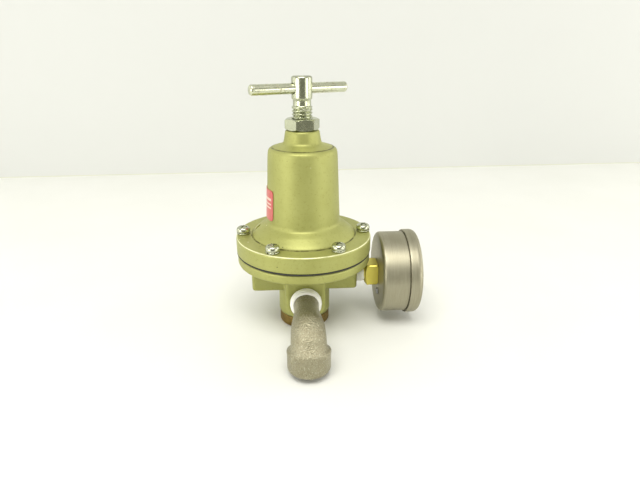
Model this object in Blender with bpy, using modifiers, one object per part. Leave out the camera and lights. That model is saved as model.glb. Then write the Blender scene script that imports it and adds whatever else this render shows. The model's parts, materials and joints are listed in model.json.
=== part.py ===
"""Water pressure regulator with a tee screw, a back-mounted gauge and a street elbow.

Metres, +Z up. The origin is the centre of the bottom plug's underside. The bonnet, body and
adjusting screw share the Z axis, the elbow leaves towards -Y and the gauge faces +X.
"""

import math

import bmesh
import bpy
from mathutils import Matrix, Vector

MM = 0.001

# Clearances
SEAT_GAP = 0.2 * MM          # between two faces that rest on each other
SIDE_GAP = 0.3 * MM          # around a pin, thread or spigot in its hole

# Facets in a full turn
LARGE_TURN = 36
MIDDLE_TURN = 24
SMALL_TURN = 16
FINE_TURN = 12

# Bottom plug and its seal
PLUG_RADIUS = 17.0 * MM
PLUG_DISC_HEIGHT = 7.6 * MM
PLUG_THREAD_RADIUS = 11.7 * MM
PLUG_THREAD_HEIGHT = 8.0 * MM
PLUG_POCKET_RADIUS = 7.0 * MM
SEAL_WIRE_RADIUS = 0.75 * MM
SPANNER_HOLE_RADIUS = 1.6 * MM
SPANNER_HOLE_DEPTH = 2.4 * MM
SPANNER_HOLE_PITCH_RADIUS = 11.0 * MM

# Body casting
COLUMN_RADIUS = 17.4 * MM
COLUMN_HEIGHT = 37.6 * MM    # from the plug's disc up to the underside of the flange
BODY_FLANGE_RADIUS = 44.0 * MM
BODY_FLANGE_HEIGHT = 6.4 * MM
WING_LENGTH = 35.0 * MM      # from the axis to the end of each gauge-port boss
WING_HALF_WIDTH = 12.5 * MM
WING_HEIGHT = 18.8 * MM
PAD_HALF_WIDTH = 13.0 * MM
PAD_DROP = 1.5 * MM          # the bosses' round bottoms sit this much below the port axis
PAD_REACH = 26.0 * MM        # from the axis to the face of each main port
CHAMBER_RADIUS = 31.0 * MM
CHAMBER_DEPTH = 4.6 * MM
CAST_EDGE = 2.0 * MM         # rounding of the casting's outside edges

# Main ports, and the elbow that one of them holds
PORT_AXIS_DROP = 20.3 * MM   # below the underside of the body flange
PORT_DEPTH = 12.0 * MM
PIPE_RADIUS = 8.3 * MM       # male pipe thread of the elbow
INLET_PASSAGE_RADIUS = 4.0 * MM
OUTLET_PASSAGE_RADIUS = 3.4 * MM
ELBOW_SOCKET_REACH = 66.6 * MM   # from the regulator's axis to the elbow's socket axis
ELBOW_MOUTH_HEIGHT = 3.9 * MM     # its mouth hangs clear of the ground
ELBOW_NECK_RADIUS = PIPE_RADIUS - 0.4 * MM
ELBOW_HEEL_RADIUS = PIPE_RADIUS + 2.4 * MM
ELBOW_BEND_RADIUS = ELBOW_HEEL_RADIUS + 0.3 * MM    # so the inside of the bend stays open
ELBOW_BAND_RADIUS = PIPE_RADIUS + 4.6 * MM
ELBOW_BAND_HEIGHT = 12.0 * MM
ELBOW_BORE_RADIUS = 5.2 * MM
ELBOW_SOCKET_DEPTH = 9.5 * MM
ELBOW_TAPE_RADIUS = PIPE_RADIUS + 1.9 * MM
ELBOW_TAPE_WIDTH = 3.4 * MM

# Valve in the body
VALVE_CHAMBER_RADIUS = 9.5 * MM
SEAT_LEDGE_HEIGHT = PLUG_DISC_HEIGHT + 19.5 * MM    # underside of the ledge that holds the seat ring
SEAT_LEDGE_THICKNESS = 1.6 * MM
SEAT_LEDGE_BORE_RADIUS = 6.6 * MM
SEAT_RING_RADIUS = 8.5 * MM
SEAT_RING_HEIGHT = 5.0 * MM
SEAT_BORE_RADIUS = 4.2 * MM
SEAT_LIP_WIDTH = 1.3 * MM
POPPET_RADIUS = 6.4 * MM
POPPET_HEIGHT = 8.4 * MM
VALVE_DISC_THICKNESS = 2.2 * MM
VALVE_STEM_RADIUS = 1.8 * MM
VALVE_TRAVEL = 1.5 * MM
POPPET_PILOT_RADIUS = 3.2 * MM   # the stub that centres the valve spring
POPPET_PILOT_LENGTH = 2.0 * MM
VALVE_SPRING_WIRE_RADIUS = 0.5 * MM
VALVE_SPRING_TURNS = 5

# Bonnet casting
BONNET_FLANGE_RADIUS = 44.45 * MM
BONNET_FLANGE_HEIGHT = 10.5 * MM
BELL_RADIUS = 34.0 * MM
BELL_STEP = 1.4 * MM         # height of the bell's edge above the flange
BELL_HEIGHT = 8.2 * MM       # from the flange to the foot of the barrel
BARREL_FOOT_RADIUS = 23.9 * MM
BARREL_TOP_RADIUS = 21.8 * MM
BARREL_HEIGHT = 46.3 * MM
SHOULDER_HEIGHT = 6.5 * MM   # from the top of the barrel to the foot of the neck
NECK_FOOT_RADIUS = 11.6 * MM
NECK_TOP_RADIUS = 11.05 * MM
NECK_HEIGHT = 6.2 * MM
BONNET_WALL = 3.6 * MM
BONNET_RECESS_RADIUS = 31.0 * MM
BONNET_RECESS_DEPTH = 6.0 * MM
VENT_MARK_RADIUS = 2.0 * MM
VENT_HOLE_RADIUS = 0.9 * MM
VENT_HEIGHT = 4.2 * MM       # above the flange's top face
VENT_REACH = 29.6 * MM

# Joint between body and bonnet
DIAPHRAGM_THICKNESS = 1.0 * MM
FLANGE_SCREW_COUNT = 6
FLANGE_SCREW_CIRCLE_RADIUS = 39.7 * MM
FLANGE_SCREW_RADIUS = 2.4 * MM
FLANGE_SCREW_HEAD_RADIUS = 4.5 * MM
FLANGE_SCREW_HEAD_HEIGHT = 3.6 * MM
LOCK_WASHER_RADIUS = 4.4 * MM
LOCK_WASHER_THICKNESS = 1.1 * MM
LOCK_WASHER_GAP_DEG = 14.0

# Diaphragm stack and range spring
PLATE_RADIUS = 22.0 * MM
PLATE_THICKNESS = 2.2 * MM
SPRING_SPIGOT_RADIUS = 11.7 * MM
SPRING_SPIGOT_HEIGHT = 3.0 * MM
RETAINER_RADIUS = 19.0 * MM
RETAINER_THICKNESS = 1.8 * MM
STUD_RADIUS = 3.0 * MM
STUD_NUT_ACROSS_FLATS = 10.0 * MM
STUD_NUT_HEIGHT = 3.4 * MM
PUSHER_RADIUS = 4.0 * MM
RANGE_SPRING_WIRE_RADIUS = 1.7 * MM
RANGE_SPRING_TURNS = 6

# Adjusting screw, its bar and its lock nut
THREAD_RADIUS = 6.35 * MM    # half-inch coarse thread
THREAD_PITCH = 25.4 / 13 * MM
SCREW_TURNS_EACH_WAY = 5
SCREW_NOSE_RADIUS = 3.2 * MM
SCREW_THREAD_ABOVE_NUT = 7.0 * MM
SCREW_NECK_RADIUS = 5.5 * MM
SCREW_NECK_HEIGHT = 4.1 * MM
SCREW_HEAD_RADIUS = 6.35 * MM
SCREW_HEAD_HEIGHT = 13.6 * MM
HEAD_CHAMFER = 0.8 * MM
TOMMY_BAR_RADIUS = 3.175 * MM
TOMMY_BAR_LENGTH = 63.5 * MM
TOMMY_BAR_OFFSET = 1.5 * MM  # how far its middle sits from the screw's axis
TOMMY_BAR_ANGLE_DEG = 23.0
TOMMY_BAR_BELOW_TOP = 7.2 * MM
LOCK_NUT_ACROSS_FLATS = 19.05 * MM
LOCK_NUT_HEIGHT = 7.0 * MM
LOCK_NUT_ANGLE_DEG = 8.6
BUTTON_RADIUS = 15.6 * MM
BUTTON_THICKNESS = 4.2 * MM
BUTTON_DIMPLE_DEPTH = 1.6 * MM
BUTTON_HEADROOM = 12.0 * MM  # free space above the button inside the barrel

# Nameplate on the barrel
NAMEPLATE_WIDTH = 27.6 * MM
NAMEPLATE_HEIGHT = 19.6 * MM
NAMEPLATE_CORNER = 2.4 * MM
NAMEPLATE_THICKNESS = 0.3 * MM
NAMEPLATE_FOOT = 4.0 * MM    # from the foot of the barrel to the plate

# Gauge ports in the wings
GAUGE_AXIS_DROP = 11.8 * MM  # below the underside of the body flange
GAUGE_PIPE_RADIUS = 6.0 * MM
GAUGE_PORT_DEPTH = 11.0 * MM
GAUGE_PASSAGE_RADIUS = 2.4 * MM
GAUGE_PASSAGE_RISE = 2.6 * MM    # above the gauge ports' axis
PORT_PLUG_SOCKET_FLATS = 6.35 * MM
PORT_PLUG_SOCKET_DEPTH = 5.0 * MM
PORT_PLUG_RECESS = 0.8 * MM

# Gauge
GAUGE_TAPE_RADIUS = GAUGE_PIPE_RADIUS + 0.5 * MM
GAUGE_SHANK_LENGTH = 6.5 * MM    # from the wing to the square of the socket
SOCKET_SQUARE = 14.3 * MM
SOCKET_SQUARE_LENGTH = 8.7 * MM
GAUGE_BOSS_RADIUS = GAUGE_PIPE_RADIUS - 0.4 * MM     # where the socket passes through the case's back
CASE_RADIUS = 27.4 * MM
CASE_LENGTH = 19.6 * MM
CASE_WALL = 1.1 * MM
CASE_CORNER = 1.4 * MM
BEZEL_RADIUS = 28.7 * MM
BEZEL_LENGTH = 8.2 * MM
BEZEL_LAP = 2.0 * MM         # how far the bezel reaches over the case
BEZEL_LIP = 3.4 * MM
BEZEL_LIP_THICKNESS = 1.3 * MM
LENS_THICKNESS = 2.0 * MM
DIAL_THICKNESS = 0.6 * MM
DIAL_DEPTH = 5.2 * MM        # from the front of the case to the face of the dial
SPINDLE_RADIUS = 0.8 * MM
PINION_RADIUS = 1.8 * MM
PINION_LENGTH = 2.2 * MM
SECTOR_PIVOT_DROP = 10.6 * MM
SECTOR_THICKNESS = 1.0 * MM
SECTOR_HALF_ANGLE_DEG = 34.0
SECTOR_REST_DEG = 28.6       # how far the sector leans towards +Y while the pointer is at zero
SECTOR_TAIL = 3.2 * MM
POINTER_LENGTH = 20.0 * MM
POINTER_TAIL = 7.0 * MM
POINTER_THICKNESS = 0.6 * MM
POINTER_REST_DEG = 225.0     # clock angle of zero on the dial, from straight up
TUBE_RADIUS = 1.9 * MM
TUBE_LOOP_RADIUS = 19.0 * MM
TUBE_SWEEP_DEG = 250.0
MOVEMENT_PLATE_THICKNESS = 1.2 * MM
CASE_SCREW_CIRCLE_RADIUS = 13.5 * MM
CASE_SCREW_RADIUS = 1.2 * MM
CASE_SCREW_HEAD_RADIUS = 2.3 * MM
CASE_SCREW_HEAD_HEIGHT = 1.2 * MM
CASE_SCREW_ANGLES_DEG = (150.0, 210.0)

# Heights and reaches that follow from the sizes above
FLANGE_BOTTOM = PLUG_DISC_HEIGHT + SEAT_GAP + COLUMN_HEIGHT
BODY_TOP = FLANGE_BOTTOM + BODY_FLANGE_HEIGHT
BONNET_BOTTOM = BODY_TOP + DIAPHRAGM_THICKNESS + 2 * SEAT_GAP
FLANGE_TOP = BONNET_BOTTOM + BONNET_FLANGE_HEIGHT
BARREL_FOOT = FLANGE_TOP + BELL_HEIGHT
BARREL_TOP = BARREL_FOOT + BARREL_HEIGHT
NECK_FOOT = BARREL_TOP + SHOULDER_HEIGHT
BONNET_TOP = NECK_FOOT + NECK_HEIGHT
BONNET_CEILING = BARREL_TOP - 1.2 * MM
PORT_AXIS = FLANGE_BOTTOM - PORT_AXIS_DROP
GAUGE_AXIS = FLANGE_BOTTOM - GAUGE_AXIS_DROP
DIAPHRAGM_BOTTOM = BODY_TOP + SEAT_GAP
DIAPHRAGM_TOP = DIAPHRAGM_BOTTOM + DIAPHRAGM_THICKNESS
PLATE_BOTTOM = DIAPHRAGM_TOP + SEAT_GAP
PLATE_TOP = PLATE_BOTTOM + PLATE_THICKNESS
RETAINER_TOP = DIAPHRAGM_BOTTOM - SEAT_GAP
RETAINER_BOTTOM = RETAINER_TOP - RETAINER_THICKNESS
LOCK_NUT_BOTTOM = BONNET_TOP + SEAT_GAP
LOCK_NUT_TOP = LOCK_NUT_BOTTOM + LOCK_NUT_HEIGHT
SCREW_HEAD_BOTTOM = LOCK_NUT_TOP + SCREW_THREAD_ABOVE_NUT + SCREW_NECK_HEIGHT
SCREW_TOP = SCREW_HEAD_BOTTOM + SCREW_HEAD_HEIGHT
BUTTON_TOP = BONNET_CEILING - BUTTON_HEADROOM
BUTTON_BOTTOM = BUTTON_TOP - BUTTON_THICKNESS
SEAT_LIP_BOTTOM = SEAT_LEDGE_HEIGHT - SEAT_GAP
POPPET_TOP = SEAT_LIP_BOTTOM - SEAT_GAP
POPPET_BOTTOM = POPPET_TOP - POPPET_HEIGHT
PUSHER_BOTTOM = RETAINER_BOTTOM - 5.0 * MM
PLUG_POCKET_FLOOR = PLUG_DISC_HEIGHT
SQUARE_START = WING_LENGTH + GAUGE_SHANK_LENGTH
CASE_BACK = SQUARE_START + SOCKET_SQUARE_LENGTH + SEAT_GAP
CASE_FRONT = CASE_BACK + CASE_LENGTH
BEZEL_BACK = CASE_FRONT - BEZEL_LAP
BEZEL_FRONT = BEZEL_BACK + BEZEL_LENGTH
DIAL_FACE = CASE_FRONT - DIAL_DEPTH
CASE_BORE_RADIUS = CASE_RADIUS - CASE_WALL
MOVEMENT_BACK = CASE_BACK + 6.0 * MM

PARTS = None
CUTTERS = None
MATERIALS = {}


def collection(name):
    made = bpy.data.collections.new(name)
    bpy.context.scene.collection.children.link(made)
    return made


def material(name, colour, roughness, metallic, alpha=1.0):
    made = bpy.data.materials.new(name)
    made.use_nodes = True
    shader = made.node_tree.nodes["Principled BSDF"]
    shader.inputs["Base Color"].default_value = (*colour, 1.0)
    shader.inputs["Roughness"].default_value = roughness
    shader.inputs["Metallic"].default_value = metallic
    shader.inputs["Alpha"].default_value = alpha
    made.diffuse_color = (*colour, alpha)
    MATERIALS[name] = made


def make_materials():
    material("olive_paint", (0.42, 0.42, 0.12), 0.42, 0.25)
    material("zinc_plate", (0.66, 0.66, 0.62), 0.32, 1.0)
    material("stainless_case", (0.52, 0.50, 0.42), 0.38, 1.0)
    material("cast_stainless", (0.36, 0.33, 0.27), 0.62, 0.8)
    material("bronze", (0.25, 0.15, 0.05), 0.5, 0.9)
    material("brass", (0.63, 0.52, 0.16), 0.35, 1.0)
    material("spring_steel", (0.30, 0.30, 0.31), 0.35, 1.0)
    material("black_rubber", (0.02, 0.02, 0.02), 0.7, 0.0)
    material("white_tape", (0.86, 0.86, 0.80), 0.6, 0.0)
    material("red_plate", (0.62, 0.06, 0.07), 0.35, 0.0)
    material("clear_lens", (0.95, 0.97, 0.97), 0.05, 0.0, alpha=0.25)
    material("dial_white", (0.90, 0.90, 0.87), 0.5, 0.0)
    material("pointer_black", (0.02, 0.02, 0.02), 0.4, 0.0)


def finish(obj, name, slot):
    """Gives the object its name, material and place in the collections."""
    obj.name = name
    obj.data.name = name
    if slot is None:
        CUTTERS.objects.link(obj)
        obj.hide_render = True
        obj.display_type = "WIRE"
    else:
        PARTS.objects.link(obj)
        obj.data.materials.append(MATERIALS[slot])
        shade(obj)
    return obj


def shade(obj):
    if obj.type == "MESH":
        obj.data.shade_smooth()
        obj.data.set_sharp_from_angle(angle=math.radians(35.0))


def object_of(bm, name, slot):
    mesh = bpy.data.meshes.new(name)
    bm.to_mesh(mesh)
    bm.free()
    return finish(bpy.data.objects.new(name, mesh), name, slot)


def turned(name, profile, slot, steps=LARGE_TURN, ring=False):
    """Turns (radius, height) points, listed down the outer side, about the object's Z axis.

    A ring's profile closes on itself, and any other starts and ends on the axis.
    """
    mesh = bpy.data.meshes.new(name)
    edges = [(i, i + 1) for i in range(len(profile) - 1)]
    if ring:
        edges.append((len(profile) - 1, 0))
    mesh.from_pydata([(radius, 0.0, height) for radius, height in profile], edges, [])
    obj = finish(bpy.data.objects.new(name, mesh), name, slot)
    screw = obj.modifiers.new("turn", "SCREW")
    screw.axis = "Z"
    screw.angle = math.tau
    screw.steps = steps
    screw.render_steps = steps
    screw.use_merge_vertices = True
    screw.merge_threshold = 0.00001
    screw.use_smooth_shade = True
    return obj


def along_x(obj):
    """Lays a turned object along +X, so that its local Z is the distance from the Z axis."""
    obj.rotation_euler = (0.0, math.radians(90.0), 0.0)
    obj.location = (0.0, 0.0, GAUGE_AXIS)
    return obj


def placing(start, end):
    """The matrix that puts a cylinder made about the origin between two points."""
    start, end = Vector(start), Vector(end)
    turn = (end - start).to_track_quat("Z", "Y").to_matrix().to_4x4()
    return Matrix.Translation((start + end) / 2) @ turn, (end - start).length


def cylinder(name, radius, start, end, slot=None, steps=SMALL_TURN):
    bm = bmesh.new()
    matrix, length = placing(start, end)
    bmesh.ops.create_cone(bm, cap_ends=True, segments=steps, radius1=radius, radius2=radius,
                          depth=length, matrix=matrix)
    return object_of(bm, name, slot)


def box(name, low, high, slot=None, rounding=0.0):
    low, high = Vector(low), Vector(high)
    bm = bmesh.new()
    matrix = Matrix.Translation((low + high) / 2) @ Matrix.Diagonal((*(high - low), 1.0))
    bmesh.ops.create_cube(bm, size=1.0, matrix=matrix)
    obj = object_of(bm, name, slot)
    if rounding:
        bevel(obj, rounding)
    return obj


def prism(name, outline, thickness, slot=None):
    """Extrudes an outline of (x, y) points, listed anticlockwise, up its own Z axis."""
    bm = bmesh.new()
    face = bm.faces.new([bm.verts.new((x, y, 0.0)) for x, y in outline])
    top = bmesh.ops.extrude_face_region(bm, geom=[face])
    moved = [item for item in top["geom"] if isinstance(item, bmesh.types.BMVert)]
    bmesh.ops.translate(bm, verts=moved, vec=(0.0, 0.0, thickness))
    bmesh.ops.recalc_face_normals(bm, faces=bm.faces)
    return object_of(bm, name, slot)


def bevel(obj, width, segments=2, angle_deg=40.0):
    made = obj.modifiers.new("rounding", "BEVEL")
    made.width = width
    made.segments = segments
    made.limit_method = "ANGLE"
    made.angle_limit = math.radians(angle_deg)
    return obj


def combine(obj, operation, *others):
    """Adds, takes away or keeps the common part of other objects."""
    for other in others:
        made = obj.modifiers.new(other.name, "BOOLEAN")
        made.operation = operation
        made.solver = "EXACT"
        made.object = other
    return obj


def arc(centre, radius, start_deg, end_deg, count):
    """Points on an arc in the (radius, height) plane, both ends included."""
    points = []
    for i in range(count + 1):
        angle = math.radians(start_deg + (end_deg - start_deg) * i / count)
        points.append((centre[0] + radius * math.cos(angle), centre[1] + radius * math.sin(angle)))
    return points


def round_points(count, radius, first_deg=0.0):
    for i in range(count):
        angle = math.radians(first_deg + 360.0 * i / count)
        yield radius * math.cos(angle), radius * math.sin(angle), angle


def hexagon_radius(across_flats):
    return across_flats / math.sqrt(3.0)


def wire(name, points, radius, slot):
    """A round wire with flat ends through the given points."""
    curve = bpy.data.curves.new(name, "CURVE")
    curve.dimensions = "3D"
    curve.bevel_depth = radius
    curve.bevel_resolution = 2
    curve.use_fill_caps = True
    spline = curve.splines.new("POLY")
    spline.points.add(len(points) - 1)
    for point, place in zip(spline.points, points):
        point.co = (*place, 1.0)
    return finish(bpy.data.objects.new(name, curve), name, slot)


def coil(name, mean_radius, wire_radius, bottom, top, turns, slot, per_turn):
    """A compression spring between two heights, with its wire inside them."""
    count = turns * per_turn
    low, high = bottom + wire_radius, top - wire_radius
    points = []
    for i in range(count + 1):
        angle = math.tau * i / per_turn
        height = low + (high - low) * i / count
        points.append((mean_radius * math.cos(angle), mean_radius * math.sin(angle), height))
    return wire(name, points, wire_radius, slot)


def screw_hole_cutter():
    """One through hole for each flange screw, all in one cutter."""
    bm = bmesh.new()
    depth = 60.0 * MM
    for x, y, _ in round_points(FLANGE_SCREW_COUNT, FLANGE_SCREW_CIRCLE_RADIUS):
        bmesh.ops.create_cone(bm, cap_ends=True, segments=FINE_TURN, depth=depth,
                              radius1=FLANGE_SCREW_RADIUS + SIDE_GAP,
                              radius2=FLANGE_SCREW_RADIUS + SIDE_GAP,
                              matrix=Matrix.Translation((x, y, BODY_TOP)))
    return object_of(bm, "screw_hole_cutter", None)


def port_pad(name, side):
    """The flat-faced boss of one main port, round below, along -Y or +Y."""
    outline = [(PAD_HALF_WIDTH, FLANGE_BOTTOM + 2 * MM)]
    outline += [(-PAD_HALF_WIDTH, FLANGE_BOTTOM + 2 * MM)]
    outline += arc((0.0, PORT_AXIS - PAD_DROP), PAD_HALF_WIDTH, 180.0, 360.0, 14)
    pad = prism(name, outline, PAD_REACH, None)
    pad.rotation_euler = (math.radians(90.0), 0.0, 0.0)
    if side > 0:
        pad.location = (0.0, PAD_REACH, 0.0)
    return bevel(pad, CAST_EDGE * 0.75)


def make_body(screw_holes):
    foot = PLUG_DISC_HEIGHT + SEAT_GAP
    fillet = 3.0 * MM
    body = turned("body", [
        (0.0, BODY_TOP),
        (BODY_FLANGE_RADIUS - 0.4 * MM, BODY_TOP),
        (BODY_FLANGE_RADIUS, BODY_TOP - 0.4 * MM),
        (BODY_FLANGE_RADIUS, FLANGE_BOTTOM + 1.2 * MM),
        (BODY_FLANGE_RADIUS - 1.2 * MM, FLANGE_BOTTOM),
        *arc((COLUMN_RADIUS + fillet, FLANGE_BOTTOM - fillet), fillet, 90.0, 180.0, 3),
        (COLUMN_RADIUS, foot + 0.8 * MM),
        (COLUMN_RADIUS - 0.8 * MM, foot),
        (0.0, foot),
    ], "olive_paint")
    wing_foot = FLANGE_BOTTOM - WING_HEIGHT
    wings = box("wings", (-WING_LENGTH, -WING_HALF_WIDTH, wing_foot),
                (WING_LENGTH, WING_HALF_WIDTH, FLANGE_BOTTOM + 2 * MM), rounding=CAST_EDGE)
    combine(body, "UNION", wings, port_pad("front_pad", -1), port_pad("rear_pad", 1))

    bore = turned("body_bore", [
        (0.0, BODY_TOP + 1 * MM),
        (CHAMBER_RADIUS, BODY_TOP + 1 * MM),
        (CHAMBER_RADIUS, BODY_TOP - CHAMBER_DEPTH),
        (SEAT_RING_RADIUS + SIDE_GAP, BODY_TOP - CHAMBER_DEPTH),
        (SEAT_RING_RADIUS + SIDE_GAP, SEAT_LEDGE_HEIGHT + SEAT_LEDGE_THICKNESS),
        (SEAT_LEDGE_BORE_RADIUS, SEAT_LEDGE_HEIGHT + SEAT_LEDGE_THICKNESS),
        (SEAT_LEDGE_BORE_RADIUS, SEAT_LEDGE_HEIGHT),
        (VALVE_CHAMBER_RADIUS, SEAT_LEDGE_HEIGHT),
        (VALVE_CHAMBER_RADIUS, foot + PLUG_THREAD_HEIGHT + 0.6 * MM),
        (PLUG_THREAD_RADIUS + SIDE_GAP, foot + PLUG_THREAD_HEIGHT + 0.6 * MM),
        (PLUG_THREAD_RADIUS + SIDE_GAP, foot - 1 * MM),
        (0.0, foot - 1 * MM),
    ], None, steps=MIDDLE_TURN)
    combine(body, "DIFFERENCE", bore, screw_holes)

    port_radius = PIPE_RADIUS + SIDE_GAP
    port_floor = PAD_REACH - PORT_DEPTH
    inlet_height = PORT_AXIS - port_radius + INLET_PASSAGE_RADIUS + 0.5 * MM
    outlet_reach = port_floor + OUTLET_PASSAGE_RADIUS
    cutters = [
        cylinder("outlet_port", port_radius, (0, -port_floor, PORT_AXIS),
                 (0, -PAD_REACH - 1 * MM, PORT_AXIS), steps=MIDDLE_TURN),
        cylinder("outlet_passage", OUTLET_PASSAGE_RADIUS, (0, -outlet_reach, PORT_AXIS),
                 (0, -outlet_reach, BODY_TOP - CHAMBER_DEPTH + 1 * MM), steps=FINE_TURN),
        cylinder("inlet_port", port_radius, (0, port_floor, PORT_AXIS),
                 (0, PAD_REACH + 1 * MM, PORT_AXIS), steps=MIDDLE_TURN),
        cylinder("inlet_passage", INLET_PASSAGE_RADIUS, (0, 0, inlet_height),
                 (0, port_floor + 1 * MM, inlet_height), steps=FINE_TURN),
    ]
    for side, word in ((1, "right"), (-1, "left")):
        depth = WING_LENGTH - GAUGE_PORT_DEPTH
        cutters.append(cylinder(word + "_gauge_port", GAUGE_PIPE_RADIUS + SIDE_GAP,
                                (side * depth, 0, GAUGE_AXIS),
                                (side * (WING_LENGTH + 1 * MM), 0, GAUGE_AXIS)))
        cutters.append(cylinder(word + "_gauge_passage", GAUGE_PASSAGE_RADIUS,
                                (side * SEAT_RING_RADIUS / 2, 0, GAUGE_AXIS + GAUGE_PASSAGE_RISE),
                                (side * (depth + 1 * MM), 0, GAUGE_AXIS + GAUGE_PASSAGE_RISE),
                                steps=FINE_TURN))
    return combine(body, "DIFFERENCE", *cutters)


def make_bonnet(screw_holes):
    rim = 1.0 * MM
    neck_fillet = 1.6 * MM
    crown = 3.6 * MM
    inner_foot = BARREL_FOOT_RADIUS - BONNET_WALL
    inner_top = BARREL_TOP_RADIUS - BONNET_WALL
    thread_bore = THREAD_RADIUS + SIDE_GAP
    crease = BARREL_TOP_RADIUS - 2.8 * MM
    bonnet = turned("bonnet", [
        (thread_bore, BONNET_TOP),
        *arc((NECK_TOP_RADIUS - rim, BONNET_TOP - rim), rim, 90.0, 0.0, 3),
        *arc((NECK_FOOT_RADIUS + neck_fillet, NECK_FOOT - 1.9 * MM + neck_fillet), neck_fillet,
             180.0, 262.0, 4),
        (crease, BARREL_TOP + 2.6 * MM),
        *arc((BARREL_TOP_RADIUS - crown, BARREL_TOP - 1.1 * MM), crown, 62.0, 0.0, 4),
        (BARREL_FOOT_RADIUS - 0.05 * MM, BARREL_FOOT + 1.4 * MM),
        (BARREL_FOOT_RADIUS + 0.9 * MM, BARREL_FOOT - 0.2 * MM),
        (BARREL_FOOT_RADIUS + 4.6 * MM, BARREL_FOOT - 2.5 * MM),
        (BELL_RADIUS - 1.6 * MM, FLANGE_TOP + BELL_STEP + 1.1 * MM),
        (BELL_RADIUS - 0.3 * MM, FLANGE_TOP + BELL_STEP),
        (BELL_RADIUS, FLANGE_TOP),
        (BONNET_FLANGE_RADIUS - 0.8 * MM, FLANGE_TOP),
        (BONNET_FLANGE_RADIUS - 0.15 * MM, FLANGE_TOP - 0.5 * MM),
        (BONNET_FLANGE_RADIUS, FLANGE_TOP - 1.2 * MM),
        (BONNET_FLANGE_RADIUS, BONNET_BOTTOM + 0.3 * MM),
        (BONNET_FLANGE_RADIUS - 0.3 * MM, BONNET_BOTTOM),
        (BONNET_RECESS_RADIUS, BONNET_BOTTOM),
        (BONNET_RECESS_RADIUS, BONNET_BOTTOM + BONNET_RECESS_DEPTH),
        (inner_foot, BARREL_FOOT - 1 * MM),
        (inner_top, BONNET_CEILING),
        (thread_bore, BONNET_CEILING),
    ], "olive_paint", ring=True)
    mark_turn = math.atan2(BELL_HEIGHT - BELL_STEP, BELL_RADIUS - BARREL_FOOT_RADIUS)
    outward = Vector((-math.sin(mark_turn), 0.0, math.cos(mark_turn)))
    mark = Vector((-VENT_REACH, 0.0, FLANGE_TOP + VENT_HEIGHT))
    shallow = cylinder("vent_mark", VENT_MARK_RADIUS, mark - outward * 0.25 * MM,
                       mark + outward * 4 * MM, steps=SMALL_TURN)
    hole = cylinder("vent_hole", VENT_HOLE_RADIUS, mark - outward * 14 * MM,
                    mark + outward * 4 * MM, steps=FINE_TURN)
    return combine(bonnet, "DIFFERENCE", screw_holes, shallow, hole)


def make_diaphragm(screw_holes):
    diaphragm = turned("diaphragm", [
        (STUD_RADIUS + SIDE_GAP, DIAPHRAGM_TOP),
        (BONNET_FLANGE_RADIUS, DIAPHRAGM_TOP),
        (BONNET_FLANGE_RADIUS, DIAPHRAGM_BOTTOM),
        (STUD_RADIUS + SIDE_GAP, DIAPHRAGM_BOTTOM),
    ], "black_rubber", ring=True)
    return combine(diaphragm, "DIFFERENCE", screw_holes)


def make_flange_screws():
    head_bottom = FLANGE_TOP + 2 * SEAT_GAP + LOCK_WASHER_THICKNESS
    head_top = head_bottom + FLANGE_SCREW_HEAD_HEIGHT
    edge = FLANGE_SCREW_HEAD_RADIUS
    profile = [
        (0.0, head_top - 1.3 * MM),
        (1.3 * MM, head_top - 0.1 * MM),
        (2.4 * MM, head_top - 0.15 * MM),
        (edge - 0.7 * MM, head_top - 1.0 * MM),
        (edge, head_bottom + 1.2 * MM),
        (edge, head_bottom),
        (FLANGE_SCREW_RADIUS, head_bottom),
        (FLANGE_SCREW_RADIUS, FLANGE_BOTTOM + 0.6 * MM),
        (0.0, FLANGE_BOTTOM + 0.2 * MM),
    ]
    washer_bottom = FLANGE_TOP + SEAT_GAP
    for number, (x, y, angle) in enumerate(
            round_points(FLANGE_SCREW_COUNT, FLANGE_SCREW_CIRCLE_RADIUS), start=1):
        screw = turned(f"bonnet_screw_{number}", profile, "zinc_plate", steps=FINE_TURN)
        screw.location = (x, y, 0.0)
        screw.rotation_euler = (0.0, 0.0, angle)
        washer = lock_washer(f"lock_washer_{number}")
        washer.location = (x, y, washer_bottom)
        washer.rotation_euler = (0.0, 0.0, angle + math.radians(70.0 * number))


def lock_washer(name):
    """A split spring washer: a square section turned almost all the way round."""
    inner = FLANGE_SCREW_RADIUS + SIDE_GAP
    corners = [(inner, 0.0), (LOCK_WASHER_RADIUS, 0.0),
               (LOCK_WASHER_RADIUS, LOCK_WASHER_THICKNESS), (inner, LOCK_WASHER_THICKNESS)]
    bm = bmesh.new()
    sections = []
    steps = FINE_TURN
    for i in range(steps + 1):
        angle = math.radians(LOCK_WASHER_GAP_DEG / 2
                             + (360.0 - LOCK_WASHER_GAP_DEG) * i / steps)
        sections.append([bm.verts.new((r * math.cos(angle), r * math.sin(angle), z))
                         for r, z in corners])
    for near, far in zip(sections, sections[1:]):
        for i in range(4):
            bm.faces.new((near[i], near[(i + 1) % 4], far[(i + 1) % 4], far[i]))
    bm.faces.new(sections[0])
    bm.faces.new(sections[-1][::-1])
    bmesh.ops.recalc_face_normals(bm, faces=bm.faces)
    return object_of(bm, name, "zinc_plate")


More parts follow.
